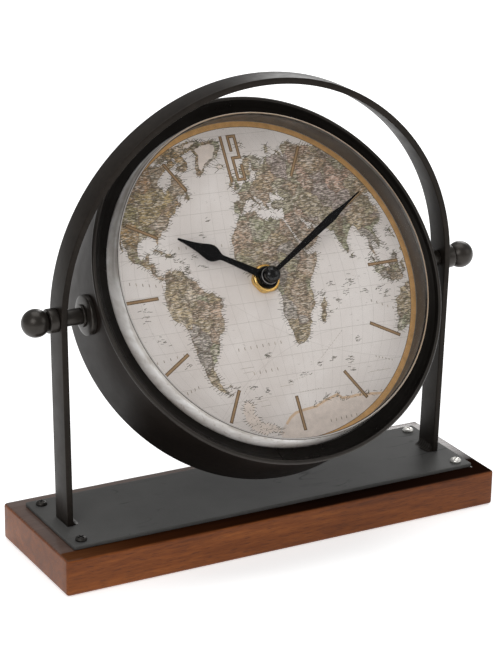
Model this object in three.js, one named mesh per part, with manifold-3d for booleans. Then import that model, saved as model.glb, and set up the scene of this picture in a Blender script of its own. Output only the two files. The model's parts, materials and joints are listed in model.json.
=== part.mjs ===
// Table clock: a round drum clock held in a tall flat-bar arch on a wooden plinth.
// Millimetres, +Z up. Origin: centre of the plinth's underside. X runs along the
// plinth, -Y is the front, where the dial looks.
import * as THREE from "three";
import { mergeVertices } from "three/addons/utils/BufferGeometryUtils.js";
import Module from "manifold-3d";

const wasm = await Module();
wasm.setup();

// ---------------------------------------------------------------- dimensions
const DEG = Math.PI / 180;
// plinth and plate
const PLINTH_L = 265, PLINTH_W = 83, PLINTH_H = 20.7, PLINTH_R = 1.8;
const PLATE_L = 247.7, PLATE_W = 63.6, PLATE_T = 2.1, PLATE_Z = 20.75;
const SCREW_X = 117.0, SCREW_Y = 25.3, SCREW_HEAD_R = 3.1, SCREW_HEAD_H = 2.1;
const SCREW_SHANK_R = 1.65, SCREW_LEN = 13;
// arch: a flat bar, feet leaning in a little
const BAR_W = 15.2, BAR_T = 3.5;
const ARCH_FOOT_X = 116.5, ARCH_FOOT_Z = 22.9, ARCH_SPRING_Z = 136.3;
const ARCH_RX = 118.8, ARCH_RZ = 117.6, ARCH_JOIN_Z = 165, WELD = 4.5;
// pivot axis (along X)
const PIVOT_Z = 137.3;
const BALL_R = 7.5, BALL_X = 130.1, COLLAR_R = 6.5, COLLAR_X0 = 118.95, COLLAR_X1 = 123.9;
const BOLT_R = 2.95, BOLT_HOLE_R = 3.02;
const SLEEVE_R = 4.4, FLANGE_R = 6.0, SADDLE_R = 10.8;
// drum: measured from the pivot axis along its own axis (s)
const TILT = 34.0;
const CASE_R = 100.25, CASE_T = 1.2, CASE_BACK = -25.9, CASE_FRONT = 16.3;
const BACK_OPENING_R = 42;
const BEZEL_R = 102, BEZEL_IN = 92.2;
const DIAL_S = 10.85, DIAL_R = 92.6, PLATE_DIAL_R = 97;
const LENS_R = 92.0, LENS_FRONT_R = 90.5, LENS_S = 26.15, LENS_T = 1.25;
const ROUND = 44;
// movement
const MOV_W = 56, MOV_Y0 = -28, MOV_Y1 = 28, MOV_FRONT = 8.4, MOV_BACK = -6.9, MOV_WALL = 1.3;
const BAY_TOP = -10.4;
const BUSH_R = 3.9, BUSH_BORE = 2.7, BUSH_TOP = 14.9;
const PIPE_R = 2.62, PIPE_BORE = 1.72, ARBOR_R = 1.64;
const NUT_AF = 15.0;
// hands
const HOUR_DIR = 148.7, HOUR_LEN = 54.0, MINUTE_DIR = 30.0, MINUTE_LEN = 76.0;
const WORKS_X = -0.4, WORKS_Y = 1.1;

// ---------------------------------------------------------------- helpers
function solidOf(geometry) {
  let g = geometry.clone();
  for (const k of Object.keys(g.attributes)) if (k !== "position") g.deleteAttribute(k);
  if (g.index) g = g.toNonIndexed();
  g = mergeVertices(g, 1e-3);
  const p = g.attributes.position.array, idx = g.index.array, tri = [];
  let vol = 0;
  for (let i = 0; i < idx.length; i += 3) {
    const [a, b, c] = [idx[i], idx[i + 1], idx[i + 2]];
    if (a === b || b === c || a === c) continue;
    tri.push(a, b, c);
    const [ax, ay, az] = [p[3 * a], p[3 * a + 1], p[3 * a + 2]];
    const [bx, by, bz] = [p[3 * b], p[3 * b + 1], p[3 * b + 2]];
    const [cx, cy, cz] = [p[3 * c], p[3 * c + 1], p[3 * c + 2]];
    vol += ax * (by * cz - bz * cy) - ay * (bx * cz - bz * cx) + az * (bx * cy - by * cx);
  }
  if (vol < 0) for (let i = 0; i < tri.length; i += 3) [tri[i + 1], tri[i + 2]] = [tri[i + 2], tri[i + 1]];
  return new wasm.Manifold(new wasm.Mesh({ numProp: 3, vertProperties: new Float32Array(p), triVerts: new Uint32Array(tri) }));
}
function geometryOf(solid) {
  const m = solid.getMesh(), g = new THREE.BufferGeometry();
  g.setAttribute("position", new THREE.BufferAttribute(new Float32Array(m.vertProperties), 3));
  g.setIndex(new THREE.BufferAttribute(new Uint32Array(m.triVerts), 1));
  g.computeVertexNormals();
  return g;
}
const join = (...gs) => gs.map(solidOf).reduce((a, b) => a.add(b));
const cut = (base, ...gs) => gs.reduce((a, g) => a.subtract(solidOf(g)), base);
const v2 = (x, y) => new THREE.Vector2(x, y);
// Ring or turned shape about +Z; the profile is [radius, height] points.
function turned(points, segments = 24, closed = true) {
  const pts = points.map(([r, z]) => v2(r, z));
  if (closed && (points[0][0] !== 0 || points[points.length - 1][0] !== 0)) pts.push(v2(points[0][0], points[0][1]));
  const g = new THREE.LatheGeometry(pts, segments);
  g.rotateX(Math.PI / 2);
  g.rotateZ(Math.PI / 2);
  return g;
}
const disc = (r, z0, z1, seg = 24) => turned([[0, z0], [r, z0], [r, z1], [0, z1]], seg);
const ring = (r0, r1, z0, z1, seg = 24) => turned([[r0, z0], [r1, z0], [r1, z1], [r0, z1]], seg);
function plateOf(outline, z0, z1, holes = []) {
  const shape = new THREE.Shape(outline.map(([x, y]) => v2(x, y)));
  for (const h of holes) shape.holes.push(new THREE.Path(h.map(([x, y]) => v2(x, y))));
  const g = new THREE.ExtrudeGeometry(shape, { depth: z1 - z0, bevelEnabled: false, steps: 1 });
  g.translate(0, 0, z0);
  return g;
}
function box(x0, x1, y0, y1, z0, z1) {
  const g = new THREE.BoxGeometry(x1 - x0, y1 - y0, z1 - z0);
  g.translate((x0 + x1) / 2, (y0 + y1) / 2, (z0 + z1) / 2);
  return g;
}
function roundedRect(w, h, r, n = 4) {
  const pts = [];
  for (const [cx, cy, a0] of [[w / 2 - r, h / 2 - r, 0], [-w / 2 + r, h / 2 - r, 90], [-w / 2 + r, -h / 2 + r, 180], [w / 2 - r, -h / 2 + r, 270]])
    for (let i = 0; i <= n; i++) {
      const a = (a0 + (90 * i) / n) * DEG;
      pts.push([cx + r * Math.cos(a), cy + r * Math.sin(a)]);
    }
  return pts;
}
const circle = (r, cx = 0, cy = 0, n = 20) =>
  Array.from({ length: n }, (_, i) => [cx + r * Math.cos((2 * Math.PI * i) / n), cy + r * Math.sin((2 * Math.PI * i) / n)]);
const at = (g, x, y, z) => g.translate(x, y, z);
// Toothed outline: tooth 0 is centred on angle `phase`.
function toothed(teeth, module, phase, form) {
  const ra = module * (teeth / 2 + 0.8), rf = module * (teeth / 2 - 1.2), pitch = (2 * Math.PI) / teeth, pts = [];
  for (let i = 0; i < teeth; i++) {
    const a = phase + i * pitch;
    const put = (r, k) => pts.push([r * Math.cos(a + k * pitch), r * Math.sin(a + k * pitch)]);
    if (form === "pinion") { put(rf, -0.24); put(ra, -0.09); put(ra, 0.09); put(rf, 0.24); }
    else if (form === "wheel") { put(rf, -0.5); put(ra, -0.1); put(ra, 0.1); }
    else { put(rf, -0.5); put(ra, 0); }
  }
  return pts;
}
function material(color, roughness, metalness, extra = {}) {
  return new THREE.MeshStandardMaterial({ color: new THREE.Color(...color), roughness, metalness, ...extra });
}
const WOOD = [0.19, 0.085, 0.04], STEEL = [0.055, 0.052, 0.048], BLACK = [0.03, 0.026, 0.023];
const ZINC = [0.62, 0.62, 0.6], BRASS = [0.72, 0.5, 0.2], PAPER = [0.68, 0.63, 0.58];
const PLASTIC = [0.05, 0.05, 0.055], WHITE = [0.8, 0.8, 0.78], COPPER = [0.6, 0.28, 0.14];
function mesh(name, solid, mat) {
  const m = new THREE.Mesh(geometryOf(solid), mat);
  m.name = name;
  return m;
}

const clock = new THREE.Group();

// ---------------------------------------------------------------- plinth
{
  const r = PLINTH_R, shape = new THREE.Shape(roundedRect(PLINTH_L - 2 * r, PLINTH_W - 2 * r, 0.3, 2).map(([x, y]) => v2(x, y)));
  const g = new THREE.ExtrudeGeometry(shape, { depth: PLINTH_H - 2 * r, bevelEnabled: true, bevelSize: r, bevelThickness: r, bevelSegments: 4 });
  g.translate(0, 0, r);
  let s = solidOf(g);
  for (const x of [-SCREW_X, SCREW_X]) for (const y of [-SCREW_Y, SCREW_Y])
    s = s.subtract(solidOf(at(disc(SCREW_SHANK_R + 0.14, PLATE_Z - SCREW_LEN - 0.5, PLINTH_H + 1, 12), x, y, 0)));
  clock.add(mesh("base_plinth", s, material(WOOD, 0.35, 0)));
}
{
  const b = 0.35, shape = new THREE.Shape(roundedRect(PLATE_L - 2 * b, PLATE_W - 2 * b, 1.2, 4).map(([x, y]) => v2(x, y)));
  const g = new THREE.ExtrudeGeometry(shape, { depth: PLATE_T - 2 * b, bevelEnabled: true, bevelSize: b, bevelThickness: b, bevelSegments: 1 });
  g.translate(0, 0, PLATE_Z + b);
  let s = solidOf(g);
  for (const x of [-SCREW_X, SCREW_X]) for (const y of [-SCREW_Y, SCREW_Y])
    s = s.subtract(solidOf(at(disc(SCREW_SHANK_R + 0.2, PLATE_Z - 1, PLATE_Z + PLATE_T + 1, 12), x, y, 0)));
  clock.add(mesh("base_plate", s, material(STEEL, 0.45, 0.8)));
}
{
  const z = PLATE_Z + PLATE_T + 0.05, H = SCREW_HEAD_H, R = SCREW_HEAD_R;
  const profile = [[0, z - SCREW_LEN + 1], [0.5, z - SCREW_LEN + 1.4], [SCREW_SHANK_R, z - SCREW_LEN + 4], [SCREW_SHANK_R, z], [R, z], [R, z + 0.9], [R * 0.86, z + 1.6], [R * 0.5, z + 2.0], [0, z + H]];
  for (const [name, x, y, turn] of [["plate_screw_front_left", -SCREW_X, -SCREW_Y, 20], ["plate_screw_back_left", -SCREW_X, SCREW_Y, 58], ["plate_screw_front_right", SCREW_X, -SCREW_Y, 35], ["plate_screw_back_right", SCREW_X, SCREW_Y, 5]]) {
    let s = solidOf(turned(profile, 12));
    s = s.subtract(solidOf(box(-1.9, 1.9, -0.34, 0.34, z + 0.85, z + 4))).subtract(solidOf(box(-0.34, 0.34, -1.9, 1.9, z + 0.85, z + 4)));
    const m = mesh(name, s, material(x > 0 ? ZINC : STEEL, 0.3, 0.9));
    m.position.set(x, y, 0);
    m.rotation.z = turn * DEG;
    clock.add(m);
  }
}

// ---------------------------------------------------------------- arch
{
  // bar section swept from the right foot over the top to the left foot
  const n = 40, c = 0.5, w = BAR_W / 2, t = BAR_T, stations = [];
  stations.push([ARCH_FOOT_X, ARCH_FOOT_Z, 1, 0]);
  stations.push([(ARCH_FOOT_X + ARCH_RX) / 2, (ARCH_FOOT_Z + ARCH_SPRING_Z) / 2, 1, 0]);
  for (let i = 0; i <= n; i++) {
    const a = ((180 * i) / n) * DEG;
    stations.push([ARCH_RX * Math.cos(a), ARCH_SPRING_Z + ARCH_RZ * Math.sin(a), Math.cos(a), Math.sin(a)]);
  }
  stations.push([-(ARCH_FOOT_X + ARCH_RX) / 2, (ARCH_FOOT_Z + ARCH_SPRING_Z) / 2, -1, 0]);
  stations.push([-ARCH_FOOT_X, ARCH_FOOT_Z, -1, 0]);
  const section = [[0, -w + c], [0, w - c], [-c, w], [-t + c, w], [-t, w - c], [-t, -w + c], [-t + c, -w], [-c, -w]];
  const pos = [], tri = [], m = section.length;
  for (const [x, z, nx, nz] of stations) for (const [o, y] of section) pos.push(x + nx * o, y, z + nz * o);
  for (let i = 0; i + 1 < stations.length; i++)
    for (let j = 0; j < m; j++) {
      const p = i * m + j, q = i * m + ((j + 1) % m);
      tri.push(p, q, p + m, q, q + m, p + m);
    }
  const last = (stations.length - 1) * m;
  for (let j = 1; j + 1 < m; j++) { tri.push(0, j + 1, j); tri.push(last, last + j, last + j + 1); }
  const g = new THREE.BufferGeometry();
  g.setAttribute("position", new THREE.Float32BufferAttribute(pos, 3));
  g.setIndex(tri);
  let s = solidOf(g);
  // concave weld on the inner side of each foot
  for (const side of [-1, 1]) {
    const fx = ARCH_FOOT_X - t, pts = [[fx + 1, ARCH_FOOT_Z], [fx + 1, ARCH_FOOT_Z + WELD]];
    for (const k of [0, 22, 45, 68]) pts.push([fx - WELD + WELD * Math.cos(k * DEG), ARCH_FOOT_Z + WELD - (WELD - 0.5) * Math.sin(k * DEG)]);
    pts.push([fx - WELD, ARCH_FOOT_Z + 0.45], [fx - WELD, ARCH_FOOT_Z]);
    const weld = plateOf(pts.map(([x, z]) => [side * x, z]), -w + 0.8, w - 0.8);
    weld.rotateX(Math.PI / 2);
    s = s.add(solidOf(weld));
  }
  const hole = disc(BOLT_HOLE_R, -140, 140, 20);
  hole.rotateY(Math.PI / 2);
  hole.translate(0, 0, PIVOT_Z);
  s = s.subtract(solidOf(hole));
  // drawn as two legs with their welds and two halves of the crown, which meet face to face
  const black = material(BLACK, 0.42, 0.7), upper = s.trimByPlane([0, 0, 1], ARCH_JOIN_Z), lower = s.trimByPlane([0, 0, -1], -ARCH_JOIN_Z);
  for (const [side, word] of [[-1, "left"], [1, "right"]]) {
    clock.add(mesh("arch_leg_" + word, lower.trimByPlane([side, 0, 0], 0), black));
    clock.add(mesh("arch_crown_" + word, upper.trimByPlane([side, 0, 0], 0), black));
  }
}

// ---------------------------------------------------------------- pivot hardware
// Each piece is turned about its own axis, then laid along +X or -X.
function along(side, profile, segments) {
  const g = turned(profile, segments);
  g.rotateY(side > 0 ? Math.PI / 2 : -Math.PI / 2);
  g.translate(0, 0, PIVOT_Z);
  return g;
}
for (const [side, word] of [[-1, "left"], [1, "right"]]) {
  // ball knob: a ball with a small seat and a blind bore for the bolt
  const flat = COLLAR_X1 + 0.08, ball = [];
  const a0 = Math.acos((flat - BALL_X) / BALL_R);
  ball.push([0, flat]);
  for (let i = 0; i <= 9; i++) { const a = a0 * (1 - i / 9); ball.push([Math.max(0, BALL_R * Math.sin(a)), BALL_X + BALL_R * Math.cos(a)]); }
  ball[ball.length - 1][0] = 0;
  let s = solidOf(along(side, ball, 22)).subtract(solidOf(along(side, [[0, flat - 1], [BOLT_HOLE_R, flat - 1], [BOLT_HOLE_R, 131.2], [0, 131.2]], 16)));
  clock.add(mesh("ball_knob_" + word, s, material(BLACK, 0.35, 0.75)));
  // collar between the ball and the bar
  clock.add(mesh("outer_collar_" + word, solidOf(along(side, [[BOLT_HOLE_R, COLLAR_X0], [COLLAR_R, COLLAR_X0], [COLLAR_R, COLLAR_X1 - 0.7], [COLLAR_R - 0.7, COLLAR_X1], [BOLT_HOLE_R, COLLAR_X1]], 20)), material(BLACK, 0.4, 0.7)));
  // bolt through drum wall, sleeve, bar and collar into the ball
  clock.add(mesh("pivot_bolt_" + word, solidOf(along(side, [[0, 92.4], [BOLT_R - 0.5, 92.4], [BOLT_R, 92.9], [BOLT_R, 130.2], [BOLT_R - 0.5, 130.8], [0, 130.8]], 16)), material(ZINC, 0.35, 0.9)));
  clock.add(mesh("spacer_sleeve_" + word, solidOf(along(side, [[BOLT_HOLE_R, 105.05], [SLEEVE_R, 105.05], [SLEEVE_R, 114.9], [BOLT_HOLE_R, 114.9]], 20)), material(BLACK, 0.4, 0.7)));
  clock.add(mesh("flange_washer_" + word, solidOf(along(side, [[BOLT_HOLE_R, 103.75], [FLANGE_R, 103.75], [FLANGE_R, 104.6], [FLANGE_R - 0.4, 105.0], [BOLT_HOLE_R, 105.0]], 20)), material(BLACK, 0.4, 0.7)));
}

// ---------------------------------------------------------------- drum
// Local frame: x along the pivot, y up the dial, z out of the dial.
const drum = new THREE.Group();
drum.position.set(0, 0, PIVOT_Z);
drum.rotation.x = (90 - TILT) * DEG;
clock.add(drum);
const cross = (side, profile, segments) => { const g = turned(profile, segments); g.rotateY(side > 0 ? Math.PI / 2 : -Math.PI / 2); return g; };

for (const [side, word] of [[-1, "left"], [1, "right"]]) {
  // saddle washer: round, its inner face follows the drum wall
  let s = solidOf(cross(side, [[0, 97], [SADDLE_R, 97], [SADDLE_R, 102.3], [SADDLE_R - 0.6, 102.8], [7.2, 103.65], [0, 103.65]], 24));
  s = s.subtract(solidOf(disc(CASE_R + 0.3, -30, 30, 96))).subtract(solidOf(cross(side, [[0, 90], [BOLT_HOLE_R, 90], [BOLT_HOLE_R, 110], [0, 110]], 16)));
  drum.add(mesh("saddle_washer_" + word, s, material(BLACK, 0.4, 0.7)));
  // lock nut inside the drum
  const hexagon = Array.from({ length: 6 }, (_, i) => [5.77 * Math.cos((i * 60 + 30) * DEG), 5.77 * Math.sin((i * 60 + 30) * DEG)]);
  const nut = plateOf(hexagon, 93.4, 97.9, [circle(BOLT_HOLE_R, 0, 0, 16)]);
  nut.rotateY(side > 0 ? Math.PI / 2 : -Math.PI / 2);
  drum.add(mesh("lock_nut_" + word, solidOf(nut), material(ZINC, 0.35, 0.9)));
}
{
  // case: a spun pan with a ledge for the dial plate and an open middle at the back
  const R = CASE_R, r = R - CASE_T, b = CASE_BACK;
  let s = solidOf(turned([[R, b + 1.2], [R, CASE_FRONT], [r, CASE_FRONT], [r, 9.3], [93.5, 9.3], [93.5, 8.3], [r, 8.3], [r, b + 1.9], [r - 0.7, b + 1.2], [BACK_OPENING_R + 1.2, b + 1.2], [BACK_OPENING_R + 1.2, b + 3.0], [BACK_OPENING_R, b + 3.0], [BACK_OPENING_R, b], [R - 1.2, b], [R - 0.35, b + 0.35]], ROUND));
  for (const side of [-1, 1]) s = s.subtract(solidOf(cross(side, [[0, 90], [BOLT_HOLE_R, 90], [BOLT_HOLE_R, 104], [0, 104]], 16)));
  drum.add(mesh("drum_case", s, material(BLACK, 0.42, 0.7)));
}
drum.add(mesh("bezel_ring", solidOf(turned([[BEZEL_IN, 12.8], [98.7, 12.8], [98.7, 16.6], [100.5, 16.6], [101.4, 17.2], [BEZEL_R, 18.1], [BEZEL_R, 19.0], [101.4, 19.8], [100.6, 20.0], [99.8, 19.5], [98.6, 17.9], [96.6, 16.0], [94.4, 14.8], [BEZEL_IN, 14.2]], ROUND)), material(BLACK, 0.38, 0.7)));
{
  const F = LENS_FRONT_R, B = LENS_R, t = LENS_T;
  drum.add(mesh("lens", solidOf(turned([[B - t, 11.15], [97.2, 11.15], [97.2, 12.45], [B, 12.45], [F + 0.25, LENS_S - 1.6], [F - 0.2, LENS_S - 0.5], [F - 1.3, LENS_S], [0, LENS_S], [0, LENS_S - t], [F - 2.3, LENS_S - t], [F - t, LENS_S - 2.4]], ROUND)), material([0.9, 0.9, 0.9], 0.05, 0, { transparent: true, opacity: 0.2 })));
}
const dialHole = solidOf(at(disc(4.2, 5, 15, 24), WORKS_X, WORKS_Y, 0));
drum.add(mesh("dial_plate", solidOf(disc(PLATE_DIAL_R, 9.6, 10.3, ROUND)).subtract(dialHole), material(ZINC, 0.5, 0.8)));
drum.add(mesh("dial_paper", solidOf(disc(DIAL_R, 10.6, DIAL_S, ROUND)).subtract(dialHole), material(PAPER, 0.8, 0)));

// Movement, nut and hands share one axis, which lies slightly off the middle of the dial.
const works = new THREE.Group();
works.position.set(WORKS_X, WORKS_Y, 0);
drum.add(works);

// movement housing: a cup open to the back, with the battery bay below
{
  const w = MOV_W / 2, yc = (MOV_Y0 + MOV_Y1) / 2, h = MOV_Y1 - MOV_Y0, t = MOV_WALL;
  let s = solidOf(at(plateOf(roundedRect(MOV_W, h, 2.5, 3), MOV_BACK, MOV_FRONT), 0, yc, 0));
  s = s.subtract(solidOf(box(-w + t, w - t, BAY_TOP + t, MOV_Y1 - t, MOV_BACK - 1, MOV_FRONT - t)));
  s = s.subtract(solidOf(box(-w + t, w - t, MOV_Y0 + t, BAY_TOP, MOV_BACK - 1, MOV_FRONT - t)));
  s = s.add(solidOf(disc(BUSH_R, MOV_FRONT - 0.5, BUSH_TOP, 24)));
  for (const [x, y] of [[-23, 23], [23, 23], [-23, -6], [23, -6]]) s = s.add(solidOf(at(disc(1.7, 2.3, MOV_FRONT - 0.6, 10), x, y, 0)));
  s = s.subtract(solidOf(disc(BUSH_BORE, 0, 20, 24)));
  works.add(mesh("movement_housing", s, material(PLASTIC, 0.5, 0)));
}
works.add(mesh("mounting_washer", solidOf(ring(4.2, 8.5, 8.6, 9.4, 20)), material([0.03, 0.03, 0.03], 0.9, 0)));
{
  // hexagon nut on the bushing, corners eased
  const R = NUT_AF / Math.sqrt(3), hexagon = Array.from({ length: 6 }, (_, i) => [R * Math.cos((i * 60 + 3) * DEG), R * Math.sin((i * 60 + 3) * DEG)]);
  let s = solidOf(plateOf(hexagon, DIAL_S + 0.3, 14.6));
  const a = solidOf(turned([[0, DIAL_S], [R, DIAL_S], [R, 13.7], [R - 1.3, 14.7], [0, 14.7]], 24));
  s = s.intersect(a).subtract(solidOf(disc(BUSH_R + 0.08, 5, 17, 24)));
  works.add(mesh("mounting_nut", s, material(BRASS, 0.25, 0.9)));
}

// positions of the wheel arbors on the movement
const O = [0, 0], MOTION = [9.6, 0];
const THIRD = [-9 * Math.cos(60 * DEG), 9 * Math.sin(60 * DEG)];
const FIFTH = [7.2 * Math.cos(50 * DEG), 7.2 * Math.sin(50 * DEG)];
const ROTOR = [FIFTH[0] + 7 * Math.cos(60 * DEG), FIFTH[1] + 7 * Math.sin(60 * DEG)];
const towards = (a, b) => Math.atan2(b[1] - a[1], b[0] - a[0]);
const JOURNAL = 0.5, JOURNAL_HOLE = 0.58;

{
  // bridge plate between the hand side and the wheel side
  let s = solidOf(plateOf(roundedRect(52.4, 34.6, 1, 2).map(([x, y]) => [x, y + 8.8]), 1.0, 2.0));
  for (const [p, r] of [[O, JOURNAL_HOLE], [THIRD, JOURNAL_HOLE], [FIFTH, JOURNAL_HOLE], [ROTOR, JOURNAL_HOLE], [MOTION, 1.08]]) s = s.subtract(solidOf(at(disc(r, 0, 3, 16), p[0], p[1], 0)));
  works.add(mesh("train_bridge", s, material([0.75, 0.75, 0.72], 0.5, 0)));
}
{
  // back cover of the wheel chamber with bearing bosses
  let s = solidOf(plateOf([[-27.8, BAY_TOP + 0.2], [27.8, BAY_TOP + 0.2], [27.8, 27.8], [-27.8, 27.8]], MOV_BACK - 1.5, MOV_BACK - 0.3));
  for (const p of [O, THIRD, FIFTH, ROTOR, MOTION]) s = s.add(solidOf(at(disc(p === MOTION ? 2.2 : 1.5, MOV_BACK - 1, -5.2, 12), p[0], p[1], 0)));
  for (const p of [O, THIRD, FIFTH, ROTOR]) s = s.subtract(solidOf(at(disc(JOURNAL_HOLE, MOV_BACK - 0.5, 0, 16), p[0], p[1], 0)));
  s = s.subtract(solidOf(at(disc(1.08, -12, 0, 16), MOTION[0], MOTION[1], 0)));
  works.add(mesh("movement_cover", s, material(PLASTIC, 0.5, 0)));
}
// battery bay
{
  const cell = turned([[0, -24], [6.6, -24], [7, -23.6], [7, 24.0], [6.6, 24.4], [2.7, 24.4], [2.7, 25.5], [0, 25.5]], 24);
  cell.rotateY(Math.PI / 2);
  cell.translate(0, -18.6, -0.6);
  works.add(mesh("battery_cell", solidOf(cell), material([0.15, 0.16, 0.18], 0.35, 0.3)));
  works.add(mesh("contact_positive", join(box(26.0, 26.5, -24, -13, -6, 5), box(25.8, 26.2, -20.6, -16.6, -2.6, 1.4)), material(ZINC, 0.3, 0.9)));
  const spring = turned([[0, 0], [4.6, 0], [4.6, 0.4], [3.0, 1.2], [2.4, 2.1], [0, 2.1]], 16);
  spring.rotateY(Math.PI / 2);
  spring.translate(-26.2, -18.6, -0.6);
  works.add(mesh("contact_negative", join(box(-26.5, -26.0, -24, -13, -6, 5), spring), material(ZINC, 0.3, 0.9)));
}
// drive parts
{
  works.add(mesh("circuit_board", join(box(-25.6, -14, -7, 24, -0.1, 0.7), box(-22.5, -17.5, 2, 7, -1.1, 0.1)), material([0.05, 0.2, 0.09], 0.5, 0)));
  const can = disc(1.0, -3, 3, 12);
  can.rotateX(Math.PI / 2);
  can.translate(-19.8, 15, -1.45);
  works.add(mesh("quartz_crystal", solidOf(can), material(ZINC, 0.25, 0.9)));
  // stator: a ring round the rotor, two arms and the coil core
  const [rx, ry] = ROTOR;
  let s = solidOf(at(disc(4.9, -2.4, -1.4, 20), rx, ry, 0));
  s = s.add(solidOf(box(rx - 9.2, rx - 6.2, ry - 1, 22.1, -2.4, -1.4))).add(solidOf(box(rx + 6.2, rx + 9.2, ry - 1, 22.1, -2.4, -1.4)));
  s = s.add(solidOf(box(rx - 9.0, rx - 4, ry - 1, ry + 2, -2.4, -1.4))).add(solidOf(box(rx + 4, rx + 9.0, ry - 1, ry + 2, -2.4, -1.4)));
  s = s.add(solidOf(box(rx - 9.2, rx + 9.2, 19.1, 22.1, -2.4, -1.4)));
  s = s.subtract(solidOf(at(disc(3.1, -5, 5, 20), rx, ry, 0)));
  works.add(mesh("stator", s, material([0.45, 0.45, 0.44], 0.4, 0.9)));
  const coil = turned([[0, -5.9], [2.75, -5.9], [2.75, -5.3], [2.35, -5.3], [2.35, 5.3], [2.75, 5.3], [2.75, 5.9], [0, 5.9]], 16);
  coil.rotateY(Math.PI / 2);
  coil.translate(rx, 20.6, -1.9);
  let c = solidOf(coil).subtract(solidOf(box(rx - 8, rx + 8, 18.95, 22.25, -2.5, -1.3)));
  works.add(mesh("coil", c, material(COPPER, 0.4, 0.6)));
}
// wheels: every mesh is in engagement at rest
const SMALL = 0.25, BIG = 0.3, SECOND_M = 18 / 68;
function wheel(name, p, parts, mat) {
  const s = parts.map(solidOf).reduce((a, b) => a.add(b));
  const m = mesh(name, s, mat);
  m.position.set(p[0], p[1], 0);
  works.add(m);
  return m;
}
const NYLON = material(WHITE, 0.5, 0), WHEEL_BRASS = material(BRASS, 0.3, 0.9);
wheel("rotor", ROTOR, [disc(2.5, -2.9, -0.8, 20), plateOf(toothed(8, SMALL, towards(ROTOR, FIFTH), "pinion"), -4.2, -2.8), disc(JOURNAL, -6.4, 1.9, 16)], material([0.3, 0.3, 0.32], 0.4, 0.7));
wheel("fifth_wheel", FIFTH, [plateOf(toothed(48, SMALL, towards(FIFTH, ROTOR) + Math.PI / 48, "fine"), -4.0, -3.2), plateOf(toothed(8, BIG, towards(FIFTH, O), "pinion"), -3.3, -1.2), disc(JOURNAL, -6.4, 1.9, 16)], NYLON);
wheel("second_wheel", O, [plateOf(toothed(40, BIG, towards(O, FIFTH) + Math.PI / 40, "fine"), -2.2, -1.4), plateOf(toothed(8, SECOND_M, towards(O, THIRD), "pinion"), -1.5, 0.8), disc(JOURNAL, -6.4, 1.9, 16)], NYLON);
wheel("third_wheel", THIRD, [plateOf(toothed(60, SECOND_M, towards(THIRD, O) + Math.PI / 60, "fine"), -0.2, 0.6), plateOf(toothed(8, SMALL, towards(THIRD, O), "pinion"), 2.3, 3.6), disc(JOURNAL, -6.4, 3.7, 16)], NYLON);
{
  // centre wheel: rides on the minute arbor
  let s = solidOf(plateOf(toothed(64, SMALL, towards(O, THIRD) + Math.PI / 64, "fine"), 2.6, 3.4)).add(solidOf(disc(3.2, 2.4, 3.6, 20)));
  s = s.subtract(solidOf(disc(ARBOR_R + 0.06, 0, 6, 24)));
  works.add(mesh("centre_wheel", s, WHEEL_BRASS));
}
{
  let s = solidOf(disc(ARBOR_R, 2.25, 20.9, 24)).add(solidOf(plateOf(toothed(12, 0.4, 0, "pinion"), 3.8, 5.1)));
  works.add(mesh("minute_arbor", s, WHEEL_BRASS));
}
wheel("motion_wheel", MOTION, [plateOf(toothed(36, 0.4, Math.PI + Math.PI / 36, "wheel"), 4.0, 4.9), plateOf(toothed(10, 0.384, Math.PI, "pinion"), 4.8, 6.8), disc(1.0, -9.6, 6.95, 16)], NYLON);
{
  // setting knob: knurled, pressed on the motion wheel's shaft
  const outline = Array.from({ length: 36 }, (_, i) => { const a = (i * 10) * DEG, r = i % 2 ? 6.7 : 7.1; return [r * Math.cos(a), r * Math.sin(a)]; });
  let s = solidOf(plateOf(outline, -12.4, -8.9)).subtract(solidOf(disc(1.04, -9.9, 0, 16)));
  const m = mesh("setting_knob", s, material(WHITE, 0.45, 0));
  m.position.set(MOTION[0], MOTION[1], 0);
  works.add(m);
}
{
  let s = solidOf(plateOf(toothed(40, 0.384, Math.PI / 40, "wheel"), 5.9, 6.8)).add(solidOf(disc(PIPE_R, 6.0, 17.8, 24)));
  s = s.subtract(solidOf(disc(PIPE_BORE, 0, 20, 24)));
  works.add(mesh("hour_wheel", s, NYLON));
}
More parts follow.
